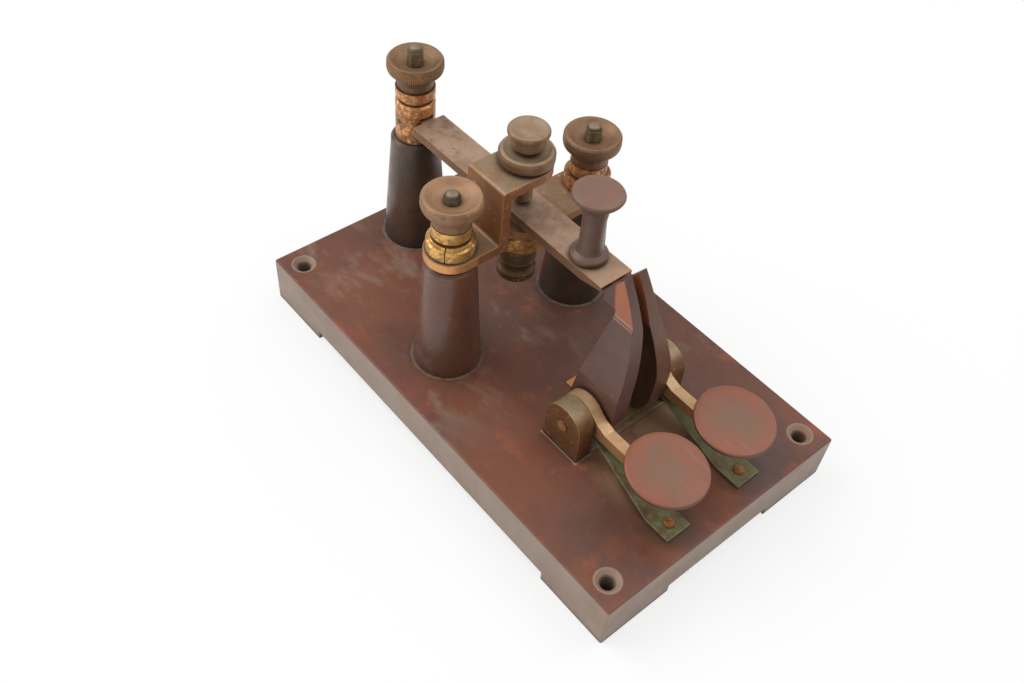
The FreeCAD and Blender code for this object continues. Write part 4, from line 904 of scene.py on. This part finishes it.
def make_floor():
    """Pale floor that partly glows for the camera, just under the feet."""
    half_width, drop = 3.0, 0.0002
    paint = Paint("floor_paper")
    paint.finish(PAPER, 0.9)
    glow = paint.node("ShaderNodeEmission")
    glow.inputs["Color"].default_value = BACKDROP
    seen = paint.node("ShaderNodeLightPath").outputs["Is Camera Ray"]
    blend = paint.node("ShaderNodeMixShader")
    paint.join(paint.math("MULTIPLY", seen, GLOW_SHARE), blend.inputs[0])
    paint.join(paint.shader.outputs[0], blend.inputs[1])
    paint.join(glow.outputs[0], blend.inputs[2])
    paint.join(blend.outputs[0], paint.tree.nodes["Material Output"].inputs["Surface"])
    work = bmesh.new()
    bmesh.ops.create_grid(work, x_segments=4, y_segments=4, size=half_width)
    floor = bpy.data.objects.new("floor", mesh_from(work, "floor"))
    floor.location.z = -drop
    floor.data.materials.append(paint.material)
    bpy.context.scene.collection.objects.link(floor)


def make_daylight():
    """Sky that is brighter towards the top; the camera sees a plain white behind the floor."""
    world = bpy.data.worlds.new("daylight")
    world.use_nodes = True
    tree = world.node_tree
    sky = tree.nodes["Background"]
    sky.inputs["Color"].default_value = SKY_COLOUR
    place = tree.nodes.new("ShaderNodeTexCoord")
    split = tree.nodes.new("ShaderNodeSeparateXYZ")
    height = tree.nodes.new("ShaderNodeMapRange")
    tree.links.new(place.outputs["Generated"], split.inputs[0])
    tree.links.new(split.outputs["Z"], height.inputs["Value"])
    for key, number in (("From Min", 0.0), ("From Max", 1.0), ("To Min", SKY_LEVEL), ("To Max", SKY_TOP)):
        height.inputs[key].default_value = number
    tree.links.new(height.outputs["Result"], sky.inputs["Strength"])
    white = tree.nodes.new("ShaderNodeBackground")
    white.inputs["Color"].default_value = BACKDROP
    path = tree.nodes.new("ShaderNodeLightPath")
    choose = tree.nodes.new("ShaderNodeMixShader")
    tree.links.new(path.outputs["Is Camera Ray"], choose.inputs[0])
    tree.links.new(sky.outputs[0], choose.inputs[1])
    tree.links.new(white.outputs[0], choose.inputs[2])
    tree.links.new(choose.outputs[0], tree.nodes["World Output"].inputs["Surface"])
    bpy.context.scene.world = world


def make_lamp(name, place, power):
    """Soft round lamp that looks at the object."""
    light = bpy.data.lights.new(name, "AREA")
    light.shape = "DISK"
    light.size = LAMP_SIZE
    light.energy = power
    thing = bpy.data.objects.new(name, light)
    thing.location = place
    thing.rotation_euler = (Vector(LAMP_AIM) - Vector(place)).to_track_quat("-Z", "Y").to_euler()
    bpy.context.scene.collection.objects.link(thing)


def make_camera():
    """Camera at the photograph's angle, in metres: from the front left, well above."""
    place = Vector((-0.174857, -0.165075, 0.289919))
    aim = Vector((-0.008040, 0.005222, 0.018400))
    roll = math.radians(5.945)
    camera = bpy.data.cameras.new("camera")
    camera.sensor_width = 36.0
    camera.lens = 36.797
    camera.shift_x = -0.0002
    camera.shift_y = 0.0044
    camera.clip_start = 0.01
    thing = bpy.data.objects.new("camera", camera)
    thing.location = place
    look = (aim - place).to_track_quat("-Z", "Y").to_matrix()
    thing.rotation_euler = (look @ Matrix.Rotation(roll, 3, "Z")).to_euler()
    bpy.context.scene.collection.objects.link(thing)
    bpy.context.scene.camera = thing


bpy.context.scene.view_settings.view_transform = "Standard"
palette = {**make_rubbers(), **make_metals()}
dress_nodes(palette)
make_pieces(palette)
make_floor()
make_daylight()
make_lamp("window", WINDOW_PLACE, WINDOW_WATTS)
make_lamp("fill", FILL_PLACE, FILL_WATTS)
make_camera()
